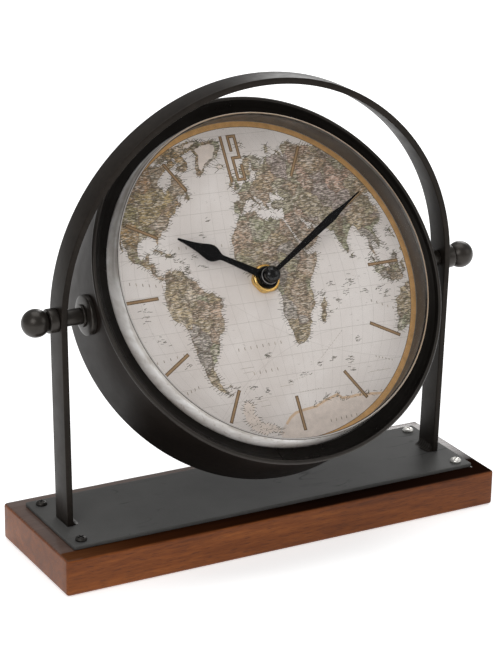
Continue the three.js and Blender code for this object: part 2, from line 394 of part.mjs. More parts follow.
// hands
const HAND = material([0.012, 0.011, 0.011], 0.35, 0.1);
function handOutline(half, hubR) {
  // half: [distance, half width] from hub to tip; returns the closed outline along +x
  const a0 = Math.asin(half[0][1] / hubR), pts = [];
  for (let i = 0; i <= 16; i++) { const a = a0 + ((2 * Math.PI - 2 * a0) * i) / 16; pts.push([hubR * Math.cos(a), hubR * Math.sin(a)]); }
  for (const [d, w] of half.slice(1)) pts.push([d, -w]);
  for (const [d, w] of half.slice(1, -1).reverse()) pts.push([d, w]);
  return pts;
}
{
  const half = [[6, 2.2], [10, 2.0], [16, 1.8], [22, 1.6], [26.5, 1.5], [28.2, 1.75], [29.6, 2.7], [31, 3.7], [32.8, 4.5], [35, 4.6], [37.5, 4.0], [40.5, 3.0], [44.5, 2.0], [49, 1.2], [52.5, 0.75], [HOUR_LEN, 0.45]];
  let s = solidOf(plateOf(handOutline(half, 6.1), 15.15, 15.85)).add(solidOf(disc(4.2, 15.4, 18.1, 24)));
  s = s.subtract(solidOf(disc(PIPE_R + 0.05, 10, 20, 24)));
  const m = mesh("hour_hand", s, HAND);
  m.rotation.z = HOUR_DIR * DEG;
  works.add(m);
}
{
  const half = [[4, 1.25], [10, 1.3], [20, 1.5], [30, 1.75], [38, 1.9], [44, 2.05], [50, 2.25], [53, 2.25], [56, 1.85], [60, 1.3], [64, 0.9], [68, 0.65], [72, 0.5], [MINUTE_LEN, 0.42]];
  let s = solidOf(plateOf(handOutline(half, 4.1), 19.15, 19.85)).subtract(solidOf(disc(ARBOR_R + 0.05, 10, 24, 24)));
  const m = mesh("minute_hand", s, HAND);
  m.rotation.z = MINUTE_DIR * DEG;
  works.add(m);
}
works.add(mesh("hand_cap", solidOf(turned([[0, 21.2], [ARBOR_R + 0.06, 21.2], [ARBOR_R + 0.06, 20.15], [4.5, 20.15], [4.7, 21.3], [4.4, 22.8], [3.4, 23.75], [1.8, 24.2], [0, 24.3]], 24)), HAND));

export default clock;
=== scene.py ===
import bpy
import bmesh
import math
import random
import json
import numpy as np
from mathutils import Vector, Matrix, geometry, noise


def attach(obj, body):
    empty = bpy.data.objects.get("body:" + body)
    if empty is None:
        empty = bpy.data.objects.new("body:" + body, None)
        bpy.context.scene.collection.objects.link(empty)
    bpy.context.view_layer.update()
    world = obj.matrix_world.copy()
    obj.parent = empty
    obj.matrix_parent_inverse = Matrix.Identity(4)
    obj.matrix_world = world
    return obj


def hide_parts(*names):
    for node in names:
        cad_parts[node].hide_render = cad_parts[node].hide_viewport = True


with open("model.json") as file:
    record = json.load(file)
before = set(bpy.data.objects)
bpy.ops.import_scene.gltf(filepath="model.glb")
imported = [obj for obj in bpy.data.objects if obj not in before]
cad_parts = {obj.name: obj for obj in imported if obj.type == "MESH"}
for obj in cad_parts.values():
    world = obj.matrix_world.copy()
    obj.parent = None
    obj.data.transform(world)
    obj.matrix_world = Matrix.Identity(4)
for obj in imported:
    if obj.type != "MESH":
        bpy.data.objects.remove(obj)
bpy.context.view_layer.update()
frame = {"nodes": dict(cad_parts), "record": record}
CAD = frame["nodes"]
MM = 0.001

# ------------------------------------------------------------------ dimensions (mm)
PIVOT_Z, TILT = 137.3, 34.0
PLINTH = (265.0, 83.0, 20.7)
PLATE = (247.7, 63.6, 2.1, 20.75)
BAR_W, BAR_T, ARCH_RX, ARCH_RZ, SPRING_Z, FOOT_X, FOOT_Z = 15.2, 3.5, 118.8, 117.6, 136.3, 116.5, 22.9
CASE_R, CASE_BACK, CASE_FRONT = 100.25, -25.9, 16.3
DIAL_S = 10.85
HOUR_DIR, MINUTE_DIR = 148.7, 30.0
DRUM = Matrix.Translation((0, 0, PIVOT_Z * MM)) @ Matrix.Rotation(math.radians(90 - TILT), 4, "X")
WORLD = Matrix.Identity(4)
WORKS_X, WORKS_Y = -0.4, 1.1
WORKS = DRUM @ Matrix.Translation((WORKS_X * MM, WORKS_Y * MM, 0))


# ------------------------------------------------------------------ mesh helpers
def fillet(points, radius, steps=4, closed=True):
    """Rounds the corners of a profile. radius is one number or one per point."""
    n, out = len(points), []
    for i, p in enumerate(points):
        r = radius[i] if isinstance(radius, (list, tuple)) else radius
        if r <= 0 or (not closed and i in (0, n - 1)):
            out.append(tuple(p))
            continue
        a, b = np.array(points[i - 1], float), np.array(points[(i + 1) % n], float)
        q = np.array(p, float)
        u, v = a - q, b - q
        lu, lv = np.linalg.norm(u), np.linalg.norm(v)
        if lu < 1e-9 or lv < 1e-9:
            out.append(tuple(p))
            continue
        u, v = u / lu, v / lv
        ang = math.acos(max(-1, min(1, float(u @ v))))
        if ang > math.pi - 0.05:
            out.append(tuple(p))
            continue
        d = min(r / math.tan(ang / 2), lu * 0.48, lv * 0.48)
        r2 = d * math.tan(ang / 2)
        w = (u + v) / np.linalg.norm(u + v)
        c = q + w * (r2 / math.sin(ang / 2))
        p0, p1 = q + u * d, q + v * d
        a0 = math.atan2(p0[1] - c[1], p0[0] - c[0])
        a1 = math.atan2(p1[1] - c[1], p1[0] - c[0])
        da = (a1 - a0 + math.pi) % (2 * math.pi) - math.pi
        for k in range(steps + 1):
            t = a0 + da * k / steps
            out.append((c[0] + r2 * math.cos(t), c[1] + r2 * math.sin(t)))
    return out


def lathe(profile, segments=96, closed=True):
    """Turns a profile of (radius, height) about +Z. Points at radius 0 become one vertex."""
    verts, faces, rings = [], [], []
    for r, z in profile:
        if r < 1e-6:
            rings.append([len(verts)])
            verts.append((0.0, 0.0, z))
        else:
            start = len(verts)
            for k in range(segments):
                a = 2 * math.pi * k / segments
                verts.append((r * math.cos(a), r * math.sin(a), z))
            rings.append(list(range(start, start + segments)))
    pairs = list(zip(range(len(rings) - 1), range(1, len(rings))))
    if closed:
        pairs.append((len(rings) - 1, 0))
    for i, j in pairs:
        A, B = rings[i], rings[j]
        if len(A) == 1 and len(B) == 1:
            continue
        for k in range(segments):
            m = (k + 1) % segments
            if len(A) == 1:
                faces.append((A[0], B[m], B[k]))
            elif len(B) == 1:
                faces.append((A[k], A[m], B[0]))
            else:
                faces.append((A[k], A[m], B[m], B[k]))
    return verts, faces


def build(name, verts, faces, body, replaces=(), mats=(), matrix=WORLD, slot=None, angle=32.0, face_mat=None, smooth=True):
    me = bpy.data.meshes.new(name)
    me.from_pydata([(x * MM, y * MM, z * MM) for x, y, z in verts], [], [list(f) for f in faces])
    me.validate()
    bm = bmesh.new()
    bm.from_mesh(me)
    bmesh.ops.recalc_face_normals(bm, faces=bm.faces)
    bm.to_mesh(me)
    bm.free()
    ob = bpy.data.objects.new(name, me)
    bpy.context.scene.collection.objects.link(ob)
    if face_mat is not None:
        index = face_mat(me)
    me.transform(matrix)
    finish(ob, body, replaces, mats, angle, smooth)
    if face_mat is not None:
        me.polygons.foreach_set("material_index", index)
    return ob


def finish(ob, body, replaces=(), mats=(), angle=32.0, smooth=True):
    me = ob.data
    me.materials.clear()
    for m in mats:
        me.materials.append(m)
    me.polygons.foreach_set("use_smooth", [smooth] * len(me.polygons))
    if smooth:
        me.set_sharp_from_angle(angle=math.radians(angle))
    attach(ob, body)
    if replaces:
        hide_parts(*replaces)


def apply_modifiers(ob):
    deps = bpy.context.evaluated_depsgraph_get()
    me = bpy.data.meshes.new_from_object(ob.evaluated_get(deps))
    old = ob.data
    ob.modifiers.clear()
    ob.data = me
    bpy.data.meshes.remove(old)


def boolean(ob, cutter, op):
    m = ob.modifiers.new("cut", "BOOLEAN")
    m.operation, m.object, m.solver = op, cutter, "EXACT"
    bpy.context.view_layer.update()
    apply_modifiers(ob)
    me = cutter.data
    bpy.data.objects.remove(cutter)
    bpy.data.meshes.remove(me)


def raw(name, verts, faces, matrix=WORLD):
    me = bpy.data.meshes.new(name)
    me.from_pydata([(x * MM, y * MM, z * MM) for x, y, z in verts], [], [list(f) for f in faces])
    bm = bmesh.new()
    bm.from_mesh(me)
    bmesh.ops.recalc_face_normals(bm, faces=bm.faces)
    bm.to_mesh(me)
    bm.free()
    ob = bpy.data.objects.new(name, me)
    bpy.context.scene.collection.objects.link(ob)
    ob.matrix_world = matrix
    return ob


def prism(outline, z0, z1):
    n = len(outline)
    verts = [(x, y, z0) for x, y in outline] + [(x, y, z1) for x, y in outline]
    faces = [tuple(reversed(range(n))), tuple(range(n, 2 * n))]
    faces += [(i, (i + 1) % n, n + (i + 1) % n, n + i) for i in range(n)]
    return verts, faces


def along_x(side):
    """Maps a turned shape's +Z onto +X or -X at the pivot."""
    return Matrix.Translation((0, 0, PIVOT_Z * MM)) @ Matrix.Rotation(side * math.pi / 2, 4, "Y")


# ------------------------------------------------------------------ materials
class Nodes:
    def __init__(self, name):
        self.mat = bpy.data.materials.new(name)
        self.mat.use_nodes = True
        self.t = self.mat.node_tree
        self.b = self.t.nodes["Principled BSDF"]
        tc = self.t.nodes.new("ShaderNodeTexCoord")
        self.obj = tc.outputs["Object"]

    def new(self, kind, **values):
        n = self.t.nodes.new(kind)
        for k, v in values.items():
            setattr(n, k, v)
        return n

    def link(self, a, b):
        self.t.links.new(a, b)

    def mapping(self, scale=(1, 1, 1), rot=(0, 0, 0), loc=(0, 0, 0), src=None):
        n = self.new("ShaderNodeMapping")
        n.inputs["Scale"].default_value = scale
        n.inputs["Rotation"].default_value = rot
        n.inputs["Location"].default_value = loc
        self.link(src or self.obj, n.inputs["Vector"])
        return n.outputs["Vector"]

    def noise(self, scale, detail=4.0, rough=0.55, src=None, distortion=0.0):
        n = self.new("ShaderNodeTexNoise")
        n.inputs["Scale"].default_value = scale
        n.inputs["Detail"].default_value = detail
        n.inputs["Roughness"].default_value = rough
        n.inputs["Distortion"].default_value = distortion
        self.link(src or self.obj, n.inputs["Vector"])
        return n.outputs["Fac"]

    def voronoi(self, scale, feature="F1", src=None, out="Distance", rand=1.0):
        n = self.new("ShaderNodeTexVoronoi", feature=feature)
        n.inputs["Scale"].default_value = scale
        n.inputs["Randomness"].default_value = rand
        self.link(src or self.obj, n.inputs["Vector"])
        return n.outputs[out]

    def ramp(self, fac, stops, interp="LINEAR"):
        n = self.new("ShaderNodeValToRGB")
        n.color_ramp.interpolation = interp
        e = n.color_ramp.elements
        while len(e) < len(stops):
            e.new(0.5)
        for el, (p, c) in zip(e, stops):
            el.position = p
            el.color = (*c, 1) if len(c) == 3 else c
        self.link(fac, n.inputs["Fac"])
        return n.outputs["Color"]

    def range(self, fac, a0, a1, b0, b1):
        n = self.new("ShaderNodeMapRange")
        for k, v in zip(("From Min", "From Max", "To Min", "To Max"), (a0, a1, b0, b1)):
            n.inputs[k].default_value = v
        self.link(fac, n.inputs["Value"])
        return n.outputs["Result"]

    def math(self, op, a, b=None, c=None):
        n = self.new("ShaderNodeMath", operation=op)
        for i, v in enumerate((a, b, c)):
            if v is None:
                continue
            if isinstance(v, (int, float)):
                n.inputs[i].default_value = v
            else:
                self.link(v, n.inputs[i])
        return n.outputs[0]

    def mix(self, fac, a, b, blend="MIX"):
        n = self.new("ShaderNodeMix", data_type="RGBA", blend_type=blend)
        for sock, v in ((n.inputs["Factor"], fac), (n.inputs["A"], a), (n.inputs["B"], b)):
            if isinstance(v, (int, float)):
                sock.default_value = v
            elif isinstance(v, tuple):
                sock.default_value = (*v, 1) if len(v) == 3 else v
            else:
                self.link(v, sock)
        return [o for o in n.outputs if o.type == "RGBA"][0]

    def xyz(self, src=None):
        n = self.new("ShaderNodeSeparateXYZ")
        self.link(src or self.obj, n.inputs[0])
        return n.outputs

    def bump(self, heights):
        """heights: (socket, distance in mm, strength) list, chained."""
        last = None
        for h, dist, strength in heights:
            n = self.new("ShaderNodeBump")
            n.inputs["Distance"].default_value = dist * MM
            n.inputs["Strength"].default_value = strength
            self.link(h, n.inputs["Height"])
            if last:
                self.link(last, n.inputs["Normal"])
            last = n.outputs["Normal"]
        self.link(last, self.b.inputs["Normal"])

    def base(self, sock):
        if isinstance(sock, tuple):
            self.b.inputs["Base Color"].default_value = (*sock, 1)
        else:
            self.link(sock, self.b.inputs["Base Color"])

    def rough(self, sock):
        if isinstance(sock, (int, float)):
            self.b.inputs["Roughness"].default_value = sock
        else:
            self.link(sock, self.b.inputs["Roughness"])

    def put(self, **values):
        for k, v in values.items():
            self.b.inputs[k.replace("_", " ")].default_value = v


def satin_paint(name, dark, light, rough=(0.3, 0.46), grain=1.0, metal=0.0, spec=0.22):
    """Baked satin paint on steel: a fine orange peel, faint rubbed patches."""
    m = Nodes(name)
    big = m.noise(38, 5, 0.6)
    fine = m.noise(420, 3, 0.6)
    col = m.ramp(m.math("MULTIPLY_ADD", fine, 0.35, m.math("MULTIPLY", big, 0.65)), [(0.36, dark), (0.68, light)])
    m.base(col)
    m.rough(m.range(m.math("MULTIPLY_ADD", m.noise(150, 4, 0.6), 0.5, m.math("MULTIPLY", big, 0.5)), 0.35, 0.68, rough[0], rough[1]))
    m.put(**{"Metallic": metal, "Specular IOR Level": spec, "Specular Tint": (1.0, 0.93, 0.86, 1)})
    m.bump([(m.noise(1100, 3, 0.55), 0.05, 0.22 * grain), (m.noise(210, 3, 0.5), 0.12, 0.18 * grain)])
    return m.mat


def drum_paint():
    """Satin paint of the drum, a little redder toward its underside, where painted shade darkens it and its specular
    drops.
    """
    m = Nodes("drum_paint")
    big, fine = m.noise(38, 5, 0.6), m.noise(420, 3, 0.6)
    col = m.ramp(m.math("MULTIPLY_ADD", fine, 0.35, m.math("MULTIPLY", big, 0.65)), [(0.36, (0.0085, 0.0062, 0.0050)), (0.68, (0.0170, 0.0124, 0.0100))])
    x, y, z = m.xyz()
    # painted shade: the colour darkens toward the drum's underside
    low = m.range(z, 0.075, 0.125, 0.28, 1.0)
    col = m.mix(low, (0.0022, 0.0015, 0.0012), col)
    m.base(col)
    m.rough(m.range(m.math("MULTIPLY_ADD", m.noise(150, 4, 0.6), 0.5, m.math("MULTIPLY", big, 0.5)), 0.35, 0.68, 0.30, 0.42))
    m.put(**{"Specular Tint": (1.0, 0.92, 0.85, 1)})
    m.link(m.math("MULTIPLY_ADD", low, 0.10, 0.02), m.b.inputs["Specular IOR Level"])
    m.bump([(m.noise(1100, 3, 0.55), 0.05, 0.22), (m.noise(210, 3, 0.5), 0.12, 0.18)])
    return m.mat


def machined(name, base, rough, metal=1.0, ring=False, tint=0.12):
    """Plated or turned metal with fine tool marks."""
    m = Nodes(name)
    v = m.mapping(scale=(1, 1, 14) if ring else (1, 1, 1))
    n1, n2 = m.noise(260, 4, 0.6, v), m.noise(1500, 3, 0.6, v)
    d = tuple(c * (1 - tint) for c in base)
    l = tuple(min(1, c * (1 + tint)) for c in base)
    m.base(m.ramp(m.math("MULTIPLY_ADD", n1, 0.6, m.math("MULTIPLY", n2, 0.4)), [(0.35, d), (0.65, l)]))
    m.rough(m.range(n2, 0.3, 0.7, rough * 0.75, rough * 1.35))
    m.put(Metallic=metal)
    m.bump([(n2, 0.03, 0.25)])
    return m.mat


def plastic(name, base, rough=0.4, vary=0.12, spec=0.4):
    m = Nodes(name)
    n1, n2 = m.noise(120, 4, 0.6), m.noise(2200, 2, 0.5)
    m.base(m.ramp(n1, [(0.3, tuple(c * (1 - vary) for c in base)), (0.7, tuple(min(1, c * (1 + vary)) for c in base))]))
    m.rough(m.range(n1, 0.3, 0.7, rough * 0.85, rough * 1.15))
    m.b.inputs["Specular IOR Level"].default_value = spec
    m.bump([(n2, 0.03, 0.3)])
    return m.mat


def wood():
    m = Nodes("plinth_wood")
    o = m.obj
    warp = m.noise(9, 3, 0.5, m.mapping(scale=(0.35, 1, 1)))
    stretched = m.mapping(scale=(1.0, 11, 11))
    band = m.noise(11, 5, 0.62, m.mapping(scale=(0.55, 7, 7)), distortion=1.1)
    fibre = m.noise(60, 6, 0.65, stretched, distortion=0.4)
    pore = m.noise(260, 3, 0.55, m.mapping(scale=(0.5, 9, 9)))
    mixv = m.math("MULTIPLY_ADD", fibre, 0.45, m.math("MULTIPLY", band, 0.55))
    col = m.ramp(mixv, [(0.30, (0.078, 0.0195, 0.0030)), (0.45, (0.152, 0.0400, 0.0065)), (0.58, (0.222, 0.0630, 0.0110)), (0.74, (0.295, 0.0950, 0.0190))])
    slow = m.ramp(warp, [(0.38, (0.86, 0.84, 0.82)), (0.62, (1, 1, 1))])
    col = m.mix(1.0, col, slow, "MULTIPLY")
    dark_pore = m.ramp(pore, [(0.36, (1, 1, 1)), (0.46, (0, 0, 0))])
    col = m.mix(m.math("MULTIPLY", dark_pore, 0.55), col, (0.035, 0.012, 0.006))
    # the upper face is darker
    geo = m.new("ShaderNodeNewGeometry")
    up = m.range(m.xyz(geo.outputs["Normal"])[2], 0.55, 0.95, 0.0, 0.72)
    col = m.mix(up, col, (0.024, 0.010, 0.006))
    # painted reflection: behind the plate and at the left end the upper face is lightened to a greyish sheen
    x, y, z = m.xyz()
    painted_sheen = m.math("MAXIMUM", m.range(y, 0.0300, 0.0335, 0.0, 1.0), m.range(x, -0.1225, -0.1245, 0.0, 0.8))
    painted_sheen = m.math("MULTIPLY", m.math("MULTIPLY", painted_sheen, m.math("DIVIDE", up, 0.72)), m.range(fibre, 0.25, 0.75, 0.62, 0.95))
    col = m.mix(painted_sheen, col, (0.150, 0.112, 0.098))
    # painted shade: the right part of the plinth is darkened
    col = m.mix(m.range(x, -0.070, 0.050, 0.0, 1.0), col, m.mix(1.0, col, (0.75, 0.72, 0.67), "MULTIPLY"))
    flat = m.math("DIVIDE", up, 0.72)
    # painted shadow: in front of the plate the upper face is painted near black and dull, lightening towards the left
    # end as painted light
    front = m.math("MAXIMUM", m.range(y, -0.0310, -0.0322, 0.0, 1.0), m.math("MULTIPLY", m.range(x, 0.1232, 0.1242, 0.0, 1.0), m.range(y, 0.006, -0.022, 0.0, 1.0)))
    front = m.math("MULTIPLY", front, flat)
    painted_shadow_tone = m.ramp(m.range(x, -0.130, 0.020, 0.0, 1.0), [(0.0, (0.110, 0.040, 0.015)), (0.28, (0.050, 0.0150, 0.0050)), (0.52, (0.034, 0.0105, 0.0038)), (1.0, (0.011, 0.0042, 0.0024))])
    painted_shadow_tone = m.mix(m.range(fibre, 0.3, 0.7, 0.0, 0.35), painted_shadow_tone, (0.006, 0.003, 0.002))
    col = m.mix(front, col, painted_shadow_tone)
    m.base(col)
    m.rough(m.math("MULTIPLY_ADD", flat, -0.17, m.range(fibre, 0.3, 0.7, 0.30, 0.44)))
    m.put(**{"Specular IOR Level": 0.16, "Coat Weight": 0.08, "Coat Roughness": 0.18})
    m.link(m.math("MULTIPLY_ADD", front, -0.16, 0.16), m.b.inputs["Specular IOR Level"])
    m.link(m.math("MULTIPLY_ADD", front, -0.08, 0.08), m.b.inputs["Coat Weight"])
    m.bump([(fibre, 0.12, 0.22), (pore, 0.10, 0.25)])
    return m.mat


def plate_paint():
    """Blackened hot-rolled sheet under a thin satin lacquer: fine grit, a few rolled-in creases."""
    m = Nodes("plate_paint")
    big = m.noise(22, 5, 0.6)
    fine = m.noise(620, 4, 0.6)
    grit = m.noise(1500, 3, 0.6)
    wrinkle = m.voronoi(330, "DISTANCE_TO_EDGE")
    col = m.ramp(m.math("MULTIPLY_ADD", big, 0.55, m.math("MULTIPLY", grit, 0.45)), [(0.36, (0.0680, 0.0672, 0.0650)), (0.66, (0.0960, 0.0945, 0.0910))])
    # creases: thin bent lines that come and go
    warp = m.noise(16, 3, 0.55, m.mapping(scale=(0.6, 2.2, 1), rot=(0, 0, 0.25)), distortion=0.8)
    line = m.math("ABSOLUTE", m.math("SUBTRACT", warp, 0.5))
    here = m.ramp(m.noise(26, 3, 0.6, m.mapping(loc=(0.21, 0.07, 0))), [(0.50, (0, 0, 0)), (0.60, (1, 1, 1))])
    crease = m.math("MULTIPLY", m.ramp(line, [(0.0, (1, 1, 1)), (0.011, (0, 0, 0))]), here)
    # painted shade: the creases' colour is darkened in the fold
    col = m.mix(m.math("MULTIPLY", crease, 0.75), col, (0.008, 0.008, 0.008))
    chip = m.ramp(m.noise(85, 2, 0.4), [(0.735, (0, 0, 0)), (0.75, (1, 1, 1))])
    col = m.mix(m.math("MULTIPLY", chip, 0.6), col, (0.009, 0.009, 0.009))
    m.base(col)
    m.rough(m.range(grit, 0.3, 0.7, 0.44, 0.56))
    m.put(**{"Specular IOR Level": 0.045})
    m.bump([(crease, 0.35, -0.8), (wrinkle, 0.05, 0.15), (fine, 0.05, 0.25), (grit, 0.03, 0.25), (m.noise(70, 3, 0.5), 0.25, 0.22)])
    return m.mat


def paper(name="dial_paper_print"):
    """Open sea of the printed chart with a faint grid."""
    m = Nodes(name)
    big, fine = m.noise(26, 4, 0.6), m.noise(900, 3, 0.6)
    col = m.ramp(big, [(0.3, (0.62, 0.56, 0.52)), (0.7, (0.74, 0.69, 0.655))])
    x, y, z = m.xyz()
    # curved grid: parallels are straight, meridians lean with latitude
    lat = m.math("DIVIDE", m.math("MULTIPLY_ADD", x, 0.021, y), 1.04 * MM)
    shrink = m.math("SUBTRACT", 0.724 * MM, m.math("MULTIPLY", m.math("MULTIPLY", lat, lat), 6.6e-5 * MM))
    lon = m.math("DIVIDE", m.math("ADD", x, 2.3 * MM), shrink)
    grid = None
    for v, off in ((lat, 0.5), (lon, 0.5)):
        fr = m.math("FRACT", m.math("MULTIPLY_ADD", v, 1 / 10.0, 30 + off))
        d = m.math("ABSOLUTE", m.math("SUBTRACT", fr, 0.5))
        line = m.math("LESS_THAN", d, 0.0105)
        grid = line if grid is None else m.math("MAXIMUM", grid, line)
    # two great-circle routes drawn as arcs
    for cx, cy, r in ((-20, -160, 190), (95, 120, 175), (-120, 60, 150), (40, -150, 118)):
        dx = m.math("SUBTRACT", x, cx * MM)
        dy = m.math("SUBTRACT", y, cy * MM)
        rr = m.math("SQRT", m.math("ADD", m.math("MULTIPLY", dx, dx), m.math("MULTIPLY", dy, dy)))
        line = m.math("LESS_THAN", m.math("ABSOLUTE", m.math("SUBTRACT", rr, r * MM)), 0.00014)
        grid = m.math("MAXIMUM", grid, m.math("MULTIPLY", line, 0.5))
    col = m.mix(m.math("MULTIPLY", grid, 0.42), col, (0.25, 0.21, 0.17))
    # soft scattered flecks of print
    fleck = m.ramp(m.noise(760, 2, 0.5, m.mapping(scale=(0.5, 1.6, 1))), [(0.66, (0, 0, 0)), (0.72, (1, 1, 1))])
    patch = m.ramp(m.noise(55, 2, 0.5), [(0.52, (0, 0, 0)), (0.62, (1, 1, 1))])
    col = m.mix(m.math("MULTIPLY", m.math("MULTIPLY", fleck, patch), 0.40), col, (0.22, 0.18, 0.14))
    m.base(col)
    m.rough(m.range(fine, 0.3, 0.7, 0.55, 0.70))
    m.bump([(fine, 0.02, 0.25)])
    return m.mat


def land():
    m = Nodes("dial_land_print")
    warped = m.new("ShaderNodeVectorMath", operation="ADD")
    wob = m.new("ShaderNodeTexNoise")
    wob.inputs["Scale"].default_value = 140
    wob.inputs["Detail"].default_value = 4
    m.link(m.obj, wob.inputs["Vector"])
    scale = m.new("ShaderNodeVectorMath", operation="MULTIPLY_ADD")
    m.link(wob.outputs["Color"], scale.inputs[0])
    scale.inputs[1].default_value = (0.010, 0.010, 0)
    scale.inputs[2].default_value = (-0.005, -0.005, 0)
    m.link(m.obj, warped.inputs[0])
    m.link(scale.outputs[0], warped.inputs[1])
    w = warped.outputs[0]
    cell = m.new("ShaderNodeTexVoronoi", feature="F1")
    cell.inputs["Scale"].default_value = 95
    m.link(w, cell.inputs["Vector"])
    hue = m.xyz(cell.outputs["Color"])[0]
    tint = m.ramp(hue, [(0.0, (0.57, 0.425, 0.235)), (0.17, (0.38, 0.420, 0.250)), (0.34, (0.62, 0.410, 0.290)), (0.48, (0.50, 0.46, 0.27)), (0.60, (0.44, 0.40, 0.40)), (0.74, (0.62, 0.47, 0.27)), (0.88, (0.50, 0.345, 0.235))], "CONSTANT")
    tint = m.mix(0.34, tint, (0.475, 0.415, 0.325))
    relief = m.noise(170, 6, 0.7)
    x, y, z = m.xyz()
    brown = m.math("MULTIPLY", m.range(x, -0.006, -0.026, 0.0, 1.0), m.range(y, 0.014, 0.030, 0.0, 1.0))
    tint = m.mix(m.math("MULTIPLY", brown, 0.9), tint, (1.0, 0.80, 0.56), "MULTIPLY")
    rose = m.math("MULTIPLY", m.range(x, 0.002, 0.022, 0.0, 1.0), m.range(y, 0.022, 0.036, 0.0, 1.0))
    tint = m.mix(m.math("MULTIPLY", rose, 0.8), tint, (1.0, 0.87, 0.90), "MULTIPLY")
    col = m.mix(m.range(relief, 0.40, 0.66, 0.0, 0.78), tint, (0.150, 0.120, 0.070))
    light = m.ramp(m.noise(120, 4, 0.6), [(0.55, (0, 0, 0)), (0.68, (1, 1, 1))])
    col = m.mix(m.math("MULTIPLY", light, 0.60), col, (0.70, 0.62, 0.54))
    pale = m.noise(900, 3, 0.6, m.mapping(scale=(0.42, 1.7, 1), loc=(0.3, 0.1, 0)))
    col = m.mix(m.range(pale, 0.50, 0.60, 0.0, 0.72), col, (0.76, 0.68, 0.58))
    edge = m.voronoi(95, "DISTANCE_TO_EDGE", w)
    col = m.mix(m.math("MULTIPLY", m.math("LESS_THAN", edge, 0.030), 0.55), col, (0.20, 0.13, 0.10))
    # small dark strokes in place of fine print, most of them level
    dark = None
    for freq, sx, sy, rot, lo in ((1000, 0.34, 1.75, 0.0, 0.535), (1150, 0.36, 1.7, 0.35, 0.56), (1050, 0.40, 1.6, -0.6, 0.575), (560, 0.30, 2.2, 0.06, 0.60)):
        k = m.ramp(m.noise(freq, 2, 0.5, m.mapping(scale=(sx, sy, 1), rot=(0, 0, rot), loc=(rot, freq * 0.001, 0))), [(lo, (0, 0, 0)), (lo + 0.05, (1, 1, 1))])
        dark = k if dark is None else m.math("MAXIMUM", dark, k)
    col = m.mix(m.math("MULTIPLY", dark, 0.78), col, (0.058, 0.046, 0.028))
    m.base(col)
    m.rough(0.62)
    m.bump([(m.noise(900, 3, 0.6), 0.02, 0.25)])
    return m.mat


def ink(name, base, rough=0.55, metal=0.0, vary=0.15):
    m = Nodes(name)
    n = m.noise(300, 4, 0.6)
    m.base(m.ramp(n, [(0.3, tuple(c * (1 - vary) for c in base)), (0.7, tuple(min(1, c * (1 + vary)) for c in base))]))
    m.rough(m.range(n, 0.3, 0.7, rough * 0.85, rough * 1.15))
    m.put(Metallic=metal)
    m.bump([(m.noise(900, 3, 0.6), 0.02, 0.2)])
    return m.mat


def clear(name, base, alpha, rough=0.03, spec=0.5):
    m = Nodes(name)
    m.base(base)
    m.put(Alpha=alpha, Roughness=rough)
    m.b.inputs["Specular IOR Level"].default_value = spec
    m.b.inputs["IOR"].default_value = 1.5
    return m.mat


def lens_wall(name, dark, light, alpha, rough):
    """Inside of the upright lens wall, painted dark as a painted reflection of the dark rim behind it."""
    m = Nodes(name)
    n = m.noise(24, 3, 0.5)
    m.base(m.ramp(n, [(0.34, dark), (0.66, light)]))
    m.put(Alpha=alpha)
    m.rough(m.range(m.noise(160, 3, 0.5), 0.3, 0.7, rough * 0.8, rough * 1.2))
    m.b.inputs["Specular IOR Level"].default_value = 0.3
    return m.mat


def lens_outside():
    """Outside of the upright lens wall, painted with the printed rim as seen through it and with painted reflections:
    greyer at the foot, paler at the front, with soft streaks round it."""
    m = Nodes("lens_wall_outer")
    x, y, z = m.xyz()
    dz = m.math("SUBTRACT", z, PIVOT_Z * MM)
    s_ = m.math("MULTIPLY_ADD", dz, 0.559, m.math("MULTIPLY", y, -0.829))
    u_ = m.math("MULTIPLY_ADD", dz, 0.829, m.math("MULTIPLY", y, 0.559))
    flow = m.noise(34, 4, 0.6, distortion=0.6)
    h = m.math("ADD", m.range(s_, 0.0125, 0.0256, 0.0, 1.0), m.range(flow, 0.3, 0.7, -0.16, 0.16))
    low = m.ramp(h, [(0.0, (0.300, 0.270, 0.245)), (0.14, (0.640, 0.600, 0.570)), (0.50, (0.900, 0.868, 0.840)), (0.86, (0.980, 0.960, 0.940)), (1.0, (0.66, 0.62, 0.58))])
    high = m.ramp(h, [(0.0, (0.400, 0.375, 0.350)), (0.16, (0.860, 0.840, 0.820)), (0.40, (0.660, 0.635, 0.610)), (0.66, (0.400, 0.380, 0.360)), (0.88, (0.520, 0.500, 0.480)), (1.0, (0.34, 0.32, 0.30))])
    col = m.mix(m.range(u_, -0.020, 0.020, 0.0, 1.0), low, high)
    band = m.ramp(m.noise(60, 3, 0.6, m.mapping(scale=(1, 1, 2.4))), [(0.40, (0.80, 0.78, 0.76)), (0.60, (1, 1, 1))])
    col = m.mix(1.0, col, band, "MULTIPLY")
    # painted specks of the print as seen through the wall
    speck = m.ramp(m.noise(430, 3, 0.6, m.mapping(scale=(1, 1, 0.45))), [(0.56, (1, 1, 1)), (0.66, (0.74, 0.70, 0.66))])
    col = m.mix(m.range(u_, -0.010, -0.050, 0.0, 0.85), col, m.mix(1.0, col, speck, "MULTIPLY"))
    # painted dark reflection: the near end of the wall turns dark
    w = m.math("MULTIPLY_ADD", x, 0.70, m.math("MULTIPLY", u_, -0.714))
    col = m.mix(m.range(w, 0.052, 0.082, 0.0, 0.93), col, (0.030, 0.027, 0.024))
    m.base(col)
    m.put(Alpha=0.88)
    m.rough(m.range(m.noise(160, 3, 0.5), 0.3, 0.7, 0.10, 0.16))
    m.b.inputs["Specular IOR Level"].default_value = 0.3
    return m.mat


